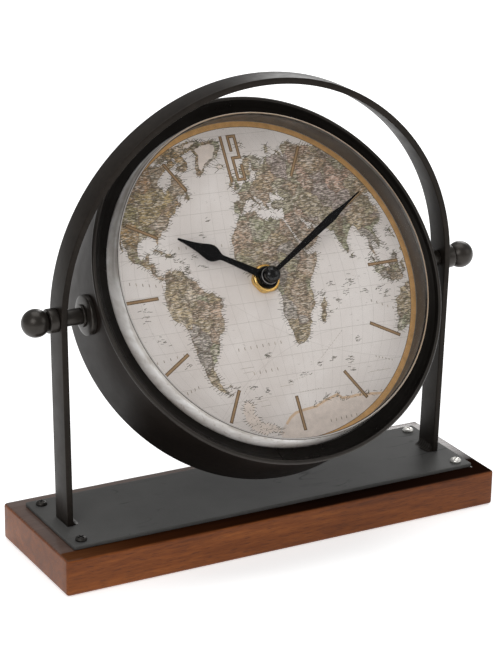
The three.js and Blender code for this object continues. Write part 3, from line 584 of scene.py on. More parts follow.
def lens_edge():
    """Rounded front edge of the lens, painted: a tan painted reflection on the far side, and on the near side dark
    lines with a pale painted highlight between them.
    """
    m = Nodes("lens_edge_clear")
    x, y, z = m.xyz()
    dz = m.math("SUBTRACT", z, PIVOT_Z * MM)
    u_ = m.math("MULTIPLY_ADD", dz, 0.829, m.math("MULTIPLY", y, 0.559))
    side = m.math("MULTIPLY_ADD", x, 0.866, m.math("MULTIPLY", u_, 0.5))
    rad = m.math("SQRT", m.math("ADD", m.math("MULTIPLY", x, x), m.math("MULTIPLY", u_, u_)))
    lines = m.ramp(m.range(rad, 0.08915, 0.0904, 0.0, 1.0), [(0.0, (0.10, 0.088, 0.078)), (0.28, (0.12, 0.105, 0.092)), (0.45, (0.50, 0.47, 0.44)), (0.68, (0.50, 0.47, 0.44)), (0.85, (0.10, 0.088, 0.078))])
    tan = m.ramp(m.range(rad, 0.08915, 0.0904, 0.0, 1.0), [(0.0, (0.060, 0.052, 0.046)), (0.25, (0.060, 0.052, 0.046)), (0.45, (0.40, 0.285, 0.185)), (0.85, (0.46, 0.335, 0.225))])
    m.base(m.mix(m.range(side, -0.02, 0.03, 0.0, 1.0), lines, tan))
    m.put(Alpha=0.80)
    m.rough(m.range(m.noise(120, 3, 0.5), 0.3, 0.7, 0.26, 0.34))
    m.b.inputs["Specular IOR Level"].default_value = 0.3
    return m.mat


DRUM_PAINT = drum_paint()
BEZEL_PAINT = satin_paint("bezel_paint", (0.0026, 0.0021, 0.0018), (0.0060, 0.0050, 0.0042), (0.25, 0.36), spec=0.13)
# the bead's lighter, shinier paint is a painted highlight along the bezel's rolled outer bead
BEAD_PAINT = satin_paint("bezel_bead_paint", (0.0120, 0.0102, 0.0090), (0.0240, 0.0205, 0.0180), (0.34, 0.44), spec=0.26)
ARCH_PAINT = satin_paint("arch_paint", (0.0090, 0.0070, 0.0056), (0.0210, 0.0168, 0.0138), (0.32, 0.46), spec=0.12)
KNOB_PAINT = satin_paint("knob_paint", (0.0090, 0.0074, 0.0062), (0.0200, 0.0165, 0.0138), (0.28, 0.40), spec=0.42)
PLATE_PAINT = plate_paint()
WOOD = wood()
NICKEL = machined("screw_nickel", (0.76, 0.745, 0.71), 0.42)
DARK_SCREW = machined("screw_dark", (0.040, 0.037, 0.034), 0.48)
ZINC = machined("zinc_plate", (0.55, 0.55, 0.53), 0.32)
BRASS = machined("nut_brass", (0.83, 0.56, 0.20), 0.20)
WHEEL_BRASS = machined("wheel_brass", (0.74, 0.54, 0.24), 0.3)
ALU = machined("dial_back_metal", (0.52, 0.52, 0.52), 0.42)
IRON = machined("core_iron", (0.32, 0.31, 0.30), 0.42)
COPPER = machined("coil_wire", (0.66, 0.29, 0.13), 0.34, ring=True)
HUB = plastic("hub_lacquer", (0.0030, 0.0027, 0.0026), 0.19, spec=0.34)
# pale metal band on the hour hand's boss edge: a painted highlight
HUB_HIGHLIGHT = machined("hub_painted_highlight_edge", (0.26, 0.25, 0.245), 0.30, 0.6)
HAND = plastic("hand_lacquer", (0.0022, 0.0020, 0.0020), 0.24, spec=0.16)
SHELL_PLASTIC = plastic("movement_shell", (0.018, 0.018, 0.020), 0.42)
WHITE_PLASTIC = plastic("wheel_nylon", (0.74, 0.73, 0.69), 0.45, 0.05)
KNOB_WHITE = plastic("setting_knob_nylon", (0.72, 0.71, 0.68), 0.4, 0.06)
BRIDGE = plastic("bridge_nylon", (0.62, 0.62, 0.58), 0.45, 0.06)
RUBBER = plastic("washer_rubber", (0.016, 0.016, 0.016), 0.75, 0.2)
BOARD = plastic("board_resin", (0.030, 0.16, 0.065), 0.35, 0.2)
WRAP = plastic("cell_wrap", (0.10, 0.11, 0.13), 0.25, 0.15)
PAPER = paper()
LAND = land()
GOLD = ink("dial_gold_ring", (0.56, 0.320, 0.125), 0.42, 0.2)
TICK = ink("dial_brown_ink", (0.120, 0.068, 0.028), 0.55)
TICK_IN = ink("dial_bronze_ink", (0.310, 0.196, 0.100), 0.5)
SHORE = ink("dial_shore_ink", (0.610, 0.440, 0.300), 0.6, 0.0, 0.14)
STROKE = ink("dial_stroke_ink", (0.110, 0.096, 0.066), 0.6, 0.0, 0.5)
MARK = ink("dial_mark_ink", (0.330, 0.275, 0.215), 0.6, 0.0, 0.5)
ICE_PRINT = ink("dial_ice_print", (0.655, 0.565, 0.500), 0.62, 0.0, 0.10)
RIM_GREY = ink("dial_rim_ink", (0.20, 0.185, 0.165), 0.55)
LENS_FRONT = clear("lens_front_clear", (0.02, 0.02, 0.02), 0.02, 0.02, 0.5)
LENS_OUT = lens_outside()
LENS_IN = lens_wall("lens_wall_inner", (0.050, 0.047, 0.045), (0.086, 0.081, 0.077), 0.92, 0.35)
LENS_EDGE = lens_edge()

BY_SLOT = {
    "plinth_wood": WOOD, "plate_steel": PLATE_PAINT, "screw_dark": DARK_SCREW, "screw_bright": NICKEL,
    "arch_black": ARCH_PAINT, "knob_black": KNOB_PAINT, "collar_black": KNOB_PAINT, "zinc_steel": ZINC,
    "drum_black": DRUM_PAINT, "bezel_black": BEZEL_PAINT, "lens_clear": LENS_FRONT, "dial_metal": ALU,
    "dial_print": PAPER, "movement_plastic": SHELL_PLASTIC, "gasket_rubber": RUBBER, "nut_brass": BRASS,
    "bridge_plastic": BRIDGE, "battery_wrap": WRAP, "board_green": BOARD, "stator_iron": IRON,
    "coil_copper": COPPER, "wheel_nylon": WHITE_PLASTIC, "wheel_brass": WHEEL_BRASS, "hand_black": HAND,
}
for row in frame["record"]["subparts"]:
    ob = CAD[row["node"]]
    ob.data.materials.clear()
    ob.data.materials.append(BY_SLOT[row["material_slot"]])
CAD["setting_knob"].data.materials[0] = KNOB_WHITE


# ------------------------------------------------------------------ plinth and plate
def rounded_slab(name, L, W, z0, z1, r_edge, r_corner, seg, wear=0.0, cuts=(60, 16, 6)):
    """A slab with rounded edges; wear pulls the surface in a little, never out."""
    bm = bmesh.new()
    bmesh.ops.create_cube(bm, size=1.0)
    for v in bm.verts:
        v.co = Vector((v.co.x * L, v.co.y * W, (v.co.z + 0.5) * (z1 - z0) + z0))
    if r_corner > r_edge:
        up = [e for e in bm.edges if abs(e.verts[0].co.z - e.verts[1].co.z) > 1e-6]
        bmesh.ops.bevel(bm, geom=up, offset=r_corner, segments=8, profile=0.5, affect="EDGES")
        flat = [e for e in bm.edges if abs(e.verts[0].co.z - e.verts[1].co.z) < 1e-6]
        bmesh.ops.bevel(bm, geom=flat, offset=r_edge, segments=seg, profile=0.5, affect="EDGES")
    else:
        bmesh.ops.bevel(bm, geom=bm.edges[:], offset=r_edge, segments=seg, profile=0.5, affect="EDGES")
    if wear > 0:
        long = [e for e in bm.edges if e.calc_length() > 30]
        bmesh.ops.subdivide_edges(bm, edges=[e for e in long if abs(e.verts[0].co.x - e.verts[1].co.x) > 30], cuts=cuts[0], use_grid_fill=True)
        bmesh.ops.subdivide_edges(bm, edges=[e for e in bm.edges if abs(e.verts[0].co.y - e.verts[1].co.y) > 30], cuts=cuts[1], use_grid_fill=True)
        for v in bm.verts:
            p = v.co
            h = 0.5 + 0.5 * noise.fractal(p * 0.035, 1.0, 2.0, 4, noise_basis="PERLIN_ORIGINAL")
            if p.z <= z0 + 0.5 * r_edge:
                continue
            v.co -= v.normal * wear * max(0.0, min(1.0, h))
    me = bpy.data.meshes.new(name)
    for v in bm.verts:
        v.co *= MM
    bm.to_mesh(me)
    bm.free()
    ob = bpy.data.objects.new(name, me)
    bpy.context.scene.collection.objects.link(ob)
    return ob


plinth = rounded_slab("plinth_block", PLINTH[0], PLINTH[1], 0, PLINTH[2], 1.8, 1.8, 6, wear=0.16)
finish(plinth, "base", ["base_plinth"], [WOOD], 40)
plate = rounded_slab("plate_sheet", PLATE[0], PLATE[1], PLATE[3], PLATE[3] + PLATE[2], 0.45, 1.3, 3, wear=0.05, cuts=(70, 18, 0))
finish(plate, "base", ["base_plate"], [PLATE_PAINT], 40)


# ------------------------------------------------------------------ plate screws
def pan_screw(name, node, x, y, turn, mat):
    z = PLATE[3] + PLATE[2] + 0.05
    head = fillet([(0, z - 3), (1.6, z - 3), (1.6, z), (3.1, z), (3.1, z + 0.75), (2.75, z + 1.5), (1.6, z + 2.0), (0, z + 2.1)], [0, 0.2, 0.1, 0.2, 0.5, 1.2, 2.0, 0], 4)
    M = Matrix.Translation((x * MM, y * MM, 0)) @ Matrix.Rotation(math.radians(turn), 4, "Z")
    ob = raw(name, *lathe(head, 56, closed=False), matrix=M)
    for k in (0, 90):
        w, l = 0.36, 1.85
        v = [(-l, -w, z + 1.0), (l, -w, z + 1.0), (l, w, z + 1.0), (-l, w, z + 1.0), (-l - 0.25, -w - 0.12, z + 3), (l + 0.25, -w - 0.12, z + 3), (l + 0.25, w + 0.12, z + 3), (-l - 0.25, w + 0.12, z + 3)]
        f = [(0, 3, 2, 1), (4, 5, 6, 7), (0, 1, 5, 4), (1, 2, 6, 5), (2, 3, 7, 6), (3, 0, 4, 7)]
        boolean(ob, raw("slot_cut", v, f, matrix=M @ Matrix.Rotation(math.radians(k), 4, "Z")), "DIFFERENCE")
    finish(ob, "base", [node], [mat], 30)


for name, x, y, turn in (("front_left", -117, -25.3, 20), ("back_left", -117, 25.3, 58), ("front_right", 117, -25.3, 35), ("back_right", 117, 25.3, 5)):
    bright = x > 0
    pan_screw("screw_" + name, "plate_screw_" + name, x, y, turn, NICKEL if bright else DARK_SCREW)

# ------------------------------------------------------------------ arch
def arch():
    w, t = BAR_W / 2, BAR_T
    sec = fillet([(0, -w), (0, w), (-t, w), (-t, -w)], 0.55, 4)
    st = []
    for k in range(25):
        f = k / 24
        st.append((FOOT_X + (ARCH_RX - FOOT_X) * f, FOOT_Z + (SPRING_Z - FOOT_Z) * f, 1.0, 0.0))
    for i in range(1, 180):
        a = math.pi * i / 180
        st.append((ARCH_RX * math.cos(a), SPRING_Z + ARCH_RZ * math.sin(a), math.cos(a), math.sin(a)))
    for k in range(25):
        f = 1 - k / 24
        st.append((-(FOOT_X + (ARCH_RX - FOOT_X) * f), FOOT_Z + (SPRING_Z - FOOT_Z) * f, -1.0, 0.0))
    verts, faces, m = [], [], len(sec)
    for x, z, nx, nz in st:
        for o, y in sec:
            verts.append((x + nx * o, y, z + nz * o))
    for i in range(len(st) - 1):
        for j in range(m):
            p, q = i * m + j, i * m + (j + 1) % m
            faces.append((p, q, q + m, p + m))
    last = (len(st) - 1) * m
    faces.append(tuple(range(m)))
    faces.append(tuple(reversed(range(last, last + m))))
    ob = build("arch_bent_bar", verts, faces, "base", ["arch_leg_left", "arch_leg_right", "arch_crown_left", "arch_crown_right"], [ARCH_PAINT], slot="arch_black", angle=40)
    # weld beads: small rippled fillets on the inner side of the feet
    rnd = random.Random(5)
    for side, word in ((-1, "left"), (1, "right")):
        fx, r = FOOT_X - t, 4.3
        rows, cols, vs, fs = 34, 7, [], []
        for i in range(rows):
            y = -w + 0.5 + (BAR_W - 1.0) * i / (rows - 1)
            rip = 0.22 * math.sin(i * 1.35) + rnd.uniform(-0.08, 0.08)
            end = 1 - 0.35 * (abs(2 * i / (rows - 1) - 1) ** 6)
            rr = (r + rip - 0.25) * end
            for j in range(cols):
                a = math.radians(90 * j / (cols - 1))
                cx, cz = fx - rr + rr * math.sin(a), FOOT_Z + rr - rr * math.cos(a)
                vs.append((side * cx, y, max(cz, FOOT_Z + 0.02)))
            vs.append((side * (fx + 0.4), y, FOOT_Z + rr))
            vs.append((side * (fx + 0.4), y, FOOT_Z + 0.01))
            vs.append((side * (fx - rr), y, FOOT_Z + 0.01))
        c = cols + 3
        for i in range(rows - 1):
            for j in range(c):
                p, q = i * c + j, i * c + (j + 1) % c
                fs.append((p, q, q + c, p + c))
        fs.append(tuple(range(c)))
        fs.append(tuple(reversed(range((rows - 1) * c, rows * c))))
        build("arch_weld_" + word, vs, fs, "base", (), [ARCH_PAINT], slot="arch_black", angle=50)
    return ob


arch()

# ------------------------------------------------------------------ pivot hardware
for side, word in ((-1, "left"), (1, "right")):
    M = along_x(side)
    flat, cx, R = 123.98, 130.1, 7.5
    a0 = math.acos((flat - cx) / R)
    ball = [(0, flat)] + [(R * math.sin(a0 * (1 - k / 36)), cx + R * math.cos(a0 * (1 - k / 36))) for k in range(36)] + [(0, cx + R)]
    build("knob_ball_" + word, *lathe(ball, 72, False), body="knob_" + word, replaces=["ball_knob_" + word], mats=[KNOB_PAINT], matrix=M, slot="knob_black", angle=40)
    build("knob_collar_" + word, *lathe(fillet([(3.02, 118.95), (6.5, 118.95), (6.5, 123.9), (3.02, 123.9)], [0.1, 0.35, 0.8, 0.1], 4), 72), body="collar_" + word, replaces=["outer_collar_" + word], mats=[KNOB_PAINT], matrix=M, slot="collar_black")
    build("pivot_sleeve_" + word, *lathe(fillet([(3.02, 105.05), (4.4, 105.05), (4.4, 114.9), (3.02, 114.9)], [0.05, 0.3, 0.3, 0.05], 3), 64), body="drum", replaces=["spacer_sleeve_" + word], mats=[KNOB_PAINT], matrix=M, slot="collar_black")
    build("pivot_flange_" + word, *lathe(fillet([(3.02, 103.75), (6.0, 103.75), (6.0, 105.0), (3.02, 105.0)], [0.05, 0.3, 0.35, 0.05], 3), 64), body="drum", replaces=["flange_washer_" + word], mats=[KNOB_PAINT], matrix=M, slot="collar_black")
    # saddle: outer face dished, inner face follows the drum
    S, seg = [], 96
    rad = [3.02, 4.5, 6.0, 7.2, 8.6, 9.8, 10.4, 10.75, 10.8]
    top = [103.65, 103.65, 103.65, 103.62, 103.35, 103.05, 102.85, 102.5, 102.2]
    vs, fs = [], []
    for r, h in zip(rad, top):
        for k in range(seg):
            a = 2 * math.pi * k / seg
            vs.append((r * math.cos(a), r * math.sin(a), h))
    low = []
    for r in reversed(rad):
        for k in range(seg):
            a = 2 * math.pi * k / seg
            x, y = r * math.cos(a), r * math.sin(a)
            vs.append((x, y, 0.0))
            low.append(len(vs) - 1)
    n = 2 * len(rad)
    for i in range(n):
        for k in range(seg):
            p, q = i * seg + k, i * seg + (k + 1) % seg
            p2, q2 = ((i + 1) % n) * seg + k, ((i + 1) % n) * seg + (k + 1) % seg
            fs.append((p, q, q2, p2))
    # the drum's axis lies across the saddle: curvature runs along the world direction square to it
    W = DRUM @ Matrix.Rotation(side * math.pi / 2, 4, "Y")
    inv = W.inverted()
    for i in low:
        x, y, _ = vs[i]
        # local point across the drum axis is the dial's up direction
        d = (W.to_3x3() @ Vector((x, y, 0)))
        up_dir = DRUM.to_3x3() @ Vector((0, 1, 0))
        c = d.dot(up_dir)
        vs[i] = (x, y, math.sqrt((CASE_R + 0.32) ** 2 - c * c))
    build("saddle_dished_" + word, vs, fs, body="drum", replaces=["saddle_washer_" + word], mats=[KNOB_PAINT], matrix=W, slot="collar_black", angle=40)

# ------------------------------------------------------------------ drum case, bezel, lens
R, r, b = CASE_R, CASE_R - 1.2, CASE_BACK
case_profile = fillet(
    [(R, b), (R, CASE_FRONT), (r, CASE_FRONT), (r, 9.3), (93.5, 9.3), (93.5, 8.3), (r, 8.3), (r, b + 1.2), (43.2, b + 1.2), (43.2, b + 3.0), (42.0, b + 3.0), (42.0, b)],
    [1.5, 0.25, 0.2, 0.2, 0.2, 0.2, 0.3, 0.7, 0.3, 0.5, 0.5, 0.8], 6)
build("drum_spun_case", *lathe(case_profile, 224), body="drum", replaces=["drum_case"], mats=[DRUM_PAINT], matrix=DRUM, slot="drum_black", angle=30)
bezel_profile = fillet(
    [(92.2, 12.8), (98.7, 12.8), (98.7, 16.6), (100.5, 16.6), (101.5, 17.1), (102.0, 18.1), (102.0, 19.0), (101.45, 19.75), (100.6, 20.0), (99.75, 19.5), (98.7, 17.9), (96.7, 16.1), (94.4, 14.9), (92.2, 14.3)],
    [0.3, 0.2, 0.2, 0.3, 0.8, 1.2, 1.2, 1.0, 0.9, 0.9, 1.5, 4.0, 4.0, 0.35], 5)


# faces out on the bead take the lighter paint: a painted highlight
def bezel_faces(me):
    return [1 if math.hypot(p.center.x, p.center.y) > 99.9 * MM else 0 for p in me.polygons]


build("bezel_rolled", *lathe(bezel_profile, 224), body="drum", replaces=["bezel_ring"], mats=[BEZEL_PAINT, BEAD_PAINT], matrix=DRUM, slot="bezel_black", angle=35, face_mat=bezel_faces)

lens_profile = fillet(
    [(90.8, 11.15), (97.2, 11.15), (97.2, 12.45), (92.0, 12.45), (90.6, 26.15), (0, 26.15), (0, 24.9), (89.4, 24.9)],
    [0.1, 0.2, 0.2, 0.1, 1.1, 0, 0, 1.0], 6)


def lens_faces(me):
    idx = []
    for p in me.polygons:
        c, n = p.center, p.normal
        rr, z = math.hypot(c.x, c.y) / MM, c.z / MM
        if rr < 89.15:
            idx.append(0)
        elif z > 25.6:
            idx.append(3)
        else:
            idx.append(1 if n.x * c.x + n.y * c.y > 0 else 2)
    return idx


lens_ob = build("lens_dished", *lathe(lens_profile, 224), body="drum", replaces=["lens"], mats=[LENS_FRONT, LENS_OUT, LENS_IN, LENS_EDGE], matrix=DRUM, slot="lens_clear", angle=30, face_mat=lens_faces)
lens_ob.visible_shadow = False

# ------------------------------------------------------------------ dial chart
LAND_LL = {
    "north_america": [(-168,66),(-162,68.5),(-156,71),(-141,70),(-128,70.5),(-115,68),(-108,68),(-95,69),(-94,72),(-85,69.5),(-82,69),(-86,66),(-94,61),(-92,57),(-85,55),(-82,52.5),(-79,51.5),(-79,54.5),(-77,57),(-78,62),(-73,62.3),(-70,60.5),(-65,59),(-61,56),(-56,53),(-56,51.5),(-60,50),(-66,50),(-70,47),(-65,49),(-64.5,46.5),(-61,45.8),(-63.5,43.5),(-64.5,45),(-66,43),(-66,41),(-69,39.8),(-71,37),(-72,34.5),(-77.5,31.5),(-80,26.5),(-80.5,25.2),(-82,27),(-83,29.5),(-85,29.7),(-89,30.2),(-91,29.2),(-94,29.5),(-97,27.5),(-97.5,23),(-97,20.5),(-95,18.5),(-91,18.6),(-90,21),(-87,21.5),(-88,18),(-88.5,16),(-84,15.8),(-83.3,14.5),(-83.7,11),(-81.5,9),(-79.5,9.5),(-77.2,8.3),(-78,7.2),(-80,7.5),(-82.5,8.2),(-85,10),(-87.5,13),(-92,14.5),(-95,16),(-100,17),(-105.5,20.5),(-106,23),(-109,26),(-112.5,30),(-114.5,31.5),(-112,27.5),(-109.7,23),(-112,25.5),(-115,28.5),(-117,32.5),(-121,34.7),(-124,40),(-124,46),(-123,49),(-128,51.5),(-131,55),(-137,58.5),(-145,60.3),(-160,60)],
    "south_america": [(-77.2,8.3),(-75.5,10.7),(-72,12),(-71.5,10),(-68,11.5),(-62,10.6),(-60,8.3),(-57,6),(-52,4.7),(-50,1),(-48,-0.8),(-44.5,-2.5),(-40,-2.9),(-35.2,-5.5),(-35,-9),(-39,-13.5),(-39,-18),(-41,-22),(-45,-23.5),(-48.5,-26),(-49,-29),(-53.5,-34),(-57,-34.6),(-57,-36.5),(-62,-39),(-65,-41),(-65.5,-45),(-67.5,-50),(-67.5,-52.8),(-64.2,-55.6),(-61.2,-56.6),(-67,-56.9),(-72.5,-54),(-76,-48),(-73.5,-42),(-73.5,-37),(-71.5,-31),(-70.3,-20),(-76,-14.5),(-81,-6),(-80,-3),(-80,0.8),(-77.5,4),(-77.6,7)],
    "africa": [(-6,35.8),(-2,35.2),(3,36.8),(10,37.3),(11,35),(10,34),(15.2,32.3),(19,30.3),(20,32.5),(23,32.5),(29,31),(32.3,31.2),(32.6,29.9),(35.5,24),(37.3,20),(39.5,15.5),(43,12),(44,10.6),(51,12),(50.8,9),(47.5,4),(42,-1),(39.2,-5),(40.5,-10.5),(40.5,-15),(35,-19.8),(35.5,-23.8),(32.8,-26),(32,-29),(28,-33),(25.5,-34),(20,-34.8),(18.2,-33.5),(17,-29.5),(14.5,-22.5),(12,-17.5),(13.8,-11),(12.3,-6),(9,-1),(9.6,3.8),(8.5,4.7),(5,6),(1,6.2),(-4,5.2),(-7.8,4.4),(-11.5,7),(-13.5,9.5),(-16.8,12.5),(-17.5,14.7),(-16,19),(-17,21),(-14.5,26),(-13,27.8),(-10,29.5),(-9.7,31.5),(-6.8,34)],
    "eurasia": [(-9,37),(-9.3,39),(-8.8,43.2),(-2,43.4),(-1.2,46),(-4.5,48.4),(-1.8,48.7),(0.2,49.6),(3,51.2),(5,53.3),(8.5,53.8),(8.2,57),(10.5,57.7),(10.8,56),(10,54.4),(14,54),(19,54.4),(21,55.5),(21.5,57.5),(24,57.2),(23.5,59.2),(29.5,60),(25,60.3),(22.5,60.2),(21.3,61.8),(25.3,65),(22.2,65.8),(17.2,61),(18.8,60),(16.5,57.5),(14.2,55.4),(12.7,56),(11.2,59),(8,58.1),(5.3,59.5),(5,62),(10,64),(14.5,68),(20,70),(26,71),(31,70.3),(41,67),(40,66.3),(33,66.7),(35,64.3),(38,64),(44,66.5),(44,68.5),(54,68.5),(60,69.5),(68,68.8),(67,72),(73,71.5),(72,67),(75,68.5),(80,72.5),(87,75),(98,76),(104,77.5),(113,74),(130,71.5),(140,72.5),(160,69.5),(175,69),(162,55),(142,59),(135.5,54.7),(141,52.5),(140,48),(132,43),(129.5,41),(127.5,39.5),(129.3,36),(126.5,34.5),(126,37.5),(125,39.7),(121.5,39),(118,39),(122,37),(119.5,35),(121.8,31.5),(121,28),(117,23.5),(110,21),(105.7,19),(109,12.5),(106.5,10),(104.8,8.8),(105,10.5),(101,13.3),(99.8,11),(100.5,7),(103.5,2),(101.3,3),(98.3,8),(98.5,14),(97,17),(94.3,16),(94,19),(91.8,22.5),(88.5,21.7),(86.8,20.5),(82,16.7),(80.2,15),(80,12),(79.5,10),(77.5,8.1),(76,10.5),(74.5,14.5),(73,18),(72.7,21.5),(70,21),(69,22.5),(66.8,25),(61.5,25.2),(57.3,25.7),(56.5,27),(52,27.7),(50,30.2),(48,30),(48.5,28),(51.5,25.8),(51,24.2),(54.5,24.2),(56.3,26.2),(56.8,24.2),(59.8,22.5),(57.8,19),(55,17),(52,15.6),(45,12.8),(43.3,12.7),(42.6,16.5),(39,21.5),(36.5,26),(34.9,29.5),(33.2,31.2),(34.2,31.5),(35.9,36),(36,36.8),(32,36.2),(30.5,36.6),(27.5,37),(26.2,39.3),(29.2,41),(31.5,41.4),(36,41.4),(41.5,41.5),(37,45),(39,47),(35,46.2),(36.5,45.3),(33.7,44.4),(32.5,46),(30.8,46.5),(28.7,44.2),(28,42),(28.6,41.3),(26.2,40.8),(24,40.7),(22.8,40.3),(24,38),(22.9,36.5),(21.3,37.5),(19.4,40.5),(19.3,41.9),(15,44.2),(13.6,45.5),(12.4,45.3),(12.5,44.2),(14,42.5),(18.4,40.2),(17,40.5),(16.5,39.5),(16,38),(15.7,40),(12.5,41.5),(10.5,43),(8.8,44.4),(7,43.5),(4,43.4),(3.2,42.3),(0,39.7),(-0.5,38),(-2.2,36.8),(-5.5,36.1)],
    "greenland": [(-73,78),(-60,82),(-35,83.5),(-20,82),(-18,77),(-22,72),(-25,70),(-33,68),(-40,65),(-43,60),(-48,61),(-52,65),(-54,69),(-56,73),(-66,76)],
    "baffin": [(-62,66),(-67,63),(-72,64),(-78,65),(-73,68),(-85,70),(-90,73),(-80,73.5),(-68,70)],
    "ellesmere": [(-90,77),(-78,77.5),(-68,81),(-64,82.8),(-80,83),(-91,81)],
    "arctic_isles": [(-117,73),(-105,73.5),(-101,72),(-103,69),(-114,69.5)],
    "north_isles": [(-120,69.5),(-98,71.5),(-82,74),(-72,76.5),(-66,79.5),(-63,82.5),(-78,83),(-95,81.5),(-112,78),(-125,74)],
    "banks": [(-125,72),(-123,74.3),(-117,74.6),(-118,72.6)],
    "melville": [(-116,76),(-105,76.5),(-96,76.8),(-92,74.8),(-105,75)],
    "newfoundland": [(-59,47.7),(-53,46.8),(-53,49),(-56,51.5),(-57.5,50.5)],
    "iceland": [(-24,65.5),(-22,66.4),(-16,66.4),(-13.6,65),(-18,63.4),(-22.5,64)],
    "britain": [(-5.5,50),(1.3,51.2),(1.7,52.7),(-0.5,54.5),(-2,57.5),(-4,58.6),(-6,56.5),(-3,54.5),(-4.5,53),(-5,51.7)],
    "ireland": [(-10,52),(-6.3,52.3),(-5.7,54.5),(-8,55.2),(-10,53.8)],
    "svalbard": [(12,79),(20,80),(27,80),(20,77),(15,77)],
    "novaya": [(52,71),(57,71),(68,76.8),(60,76)],
    "madagascar": [(49.3,-12),(50.5,-15.5),(47.2,-25),(44,-25),(43.3,-22),(44.5,-16.3)],
    "cuba": [(-85,22),(-82,23.2),(-77,21.8),(-74.3,20.2),(-77.7,19.9),(-79,21.5)],
    "hispaniola": [(-74.4,19.8),(-69.5,19.7),(-68.4,18.5),(-72,18),(-74.4,18.4)],
    "sri_lanka": [(79.8,8),(81.7,7.5),(80.5,6)],
    "sardinia": [(8.3,41),(9.6,40.8),(9.3,39),(8.4,39)],
    "sicily": [(12.5,38),(15.5,38.2),(15,36.8)],
    "crete": [(23.6,35.5),(26.2,35.3),(24.5,34.9)],
    "falklands": [(-61,-51.3),(-58,-51.4),(-58.5,-52.3),(-60.8,-52.2)],
    "sumatra": [(95.3,5.5),(98.5,3.7),(104,-1.5),(106,-5.8),(102,-4),(98,0)],
    "java": [(105.2,-6.8),(108.5,-6.6),(112.5,-6.8),(114.4,-8.3),(110,-8.1),(106,-7.4)],
    "borneo": [(109,1.5),(111.5,2.3),(113.5,3.6),(116.5,6.9),(119,5),(117.8,1),(116,-3.8),(111.5,-3.4),(110,-1.5)],
    "luzon": [(120.2,16),(120.8,18.5),(122.2,18.3),(121.6,15),(123.8,13),(120.8,13.8)],
    "mindanao": [(122,7),(125.5,9.6),(126.4,7),(124.5,5.8)],
    "sulawesi": [(119.5,-3.5),(120,1),(124.8,1.6),(121,0.2),(122.8,-4.5),(120.3,-3),(120.3,-5.5)],
    "australia": [(113.8,-22.5),(114,-26),(115.2,-30),(115.2,-34.2),(118,-35),(122,-33.9),(126,-32.3),(131,-31.5),(135,-34.8),(138,-33),(145,-38),(150,-37),(153.5,-28),(146,-19),(142,-11),(139.5,-17.5),(135.5,-15),(136,-12.2),(131,-11.5),(129,-15),(126,-14),(122.3,-17.5),(119,-20),(116.5,-20.7)],
    "japan": [(130,31.5),(131,34),(136,35.5),(140,40),(141.8,39),(140.5,35.5),(135.8,33.5)],
}
ICE = ("greenland", "ellesmere", "svalbard", "iceland")
# the southern ice and its peninsula, in dial millimetres
ICE_CAP = [(-15,-82.5),(-10.0,-77.2),(-7.2,-74.6),(-3.2,-72.4),(2.2,-71.6),(9.7,-71.1),(16.3,-68.7),(24.3,-66.8),(26.8,-69.2),(32.6,-69.4),(35.2,-69.1),(41.8,-69.5),(49.9,-70.5),(58,-71),(50,-77),(30,-87),(10,-91),(-14,-91)]
PENINSULA = [(-30.6,-62.4),(-28.2,-61.8),(-25.6,-64.6),(-26.2,-70.3),(-22.5,-75.4),(-16.2,-77.6),(-13.4,-79.4),(-14.6,-82.6),(-19.5,-80.6),(-25.8,-80.2),(-30.6,-77.2),(-32.6,-72.4),(-32.6,-66.4)]
EAST_ISLES = [(67.2,-1.7),(72.2,-0.8),(78.6,-2.3),(83.4,-5.2),(83.5,-9.9),(77.3,-10.9),(71.7,-9.3),(68.7,-5.3)]
SOUTH_LAND = [(74.8,-21.7),(79.7,-15.5),(85.4,-12.5),(89.8,-12.4),(91.0,-24.6),(84.3,-35.0),(76.8,-33.5),(74.0,-28.0)]
CASPIAN = [(47,45),(52,46.8),(53,42),(52.5,40),(54,37),(50,37.3),(49.5,40.5),(47.5,43)]


def project(lon, lat):
    x = -2.3 + 0.027 * lat + lon * (0.724 - 6.6e-5 * lat * lat)
    y = 0.2 + lat * (1.078 - 1.58e-5 * lat * lat) - 0.0153 * lon + 1.2e-6 * lat * lon * lon
    return x, y


def coast(points, seed, rough=0.17, flat=False):
    """Projects a coarse coastline and breaks each leg into small irregular steps."""
    rnd = random.Random(seed)
    dense = []
    for i, (lon, lat) in enumerate(points):
        lon2, lat2 = points[(i + 1) % len(points)]
        steps = max(1, int(max(abs(lon2 - lon), abs(lat2 - lat)) / 4.5))
        for k in range(steps):
            p = (lon + (lon2 - lon) * k / steps, lat + (lat2 - lat) * k / steps)
            dense.append(p if flat else project(*p))
    for _ in range(2):
        out = []
        for i, p in enumerate(dense):
            q = dense[(i + 1) % len(dense)]
            dx, dy = q[0] - p[0], q[1] - p[1]
            L = math.hypot(dx, dy)
            out.append(p)
            if L > 1.25:
                s = rnd.uniform(-rough, rough)
                out.append((p[0] + dx / 2 - dy * s, p[1] + dy / 2 + dx * s))
        dense = out
    return dense


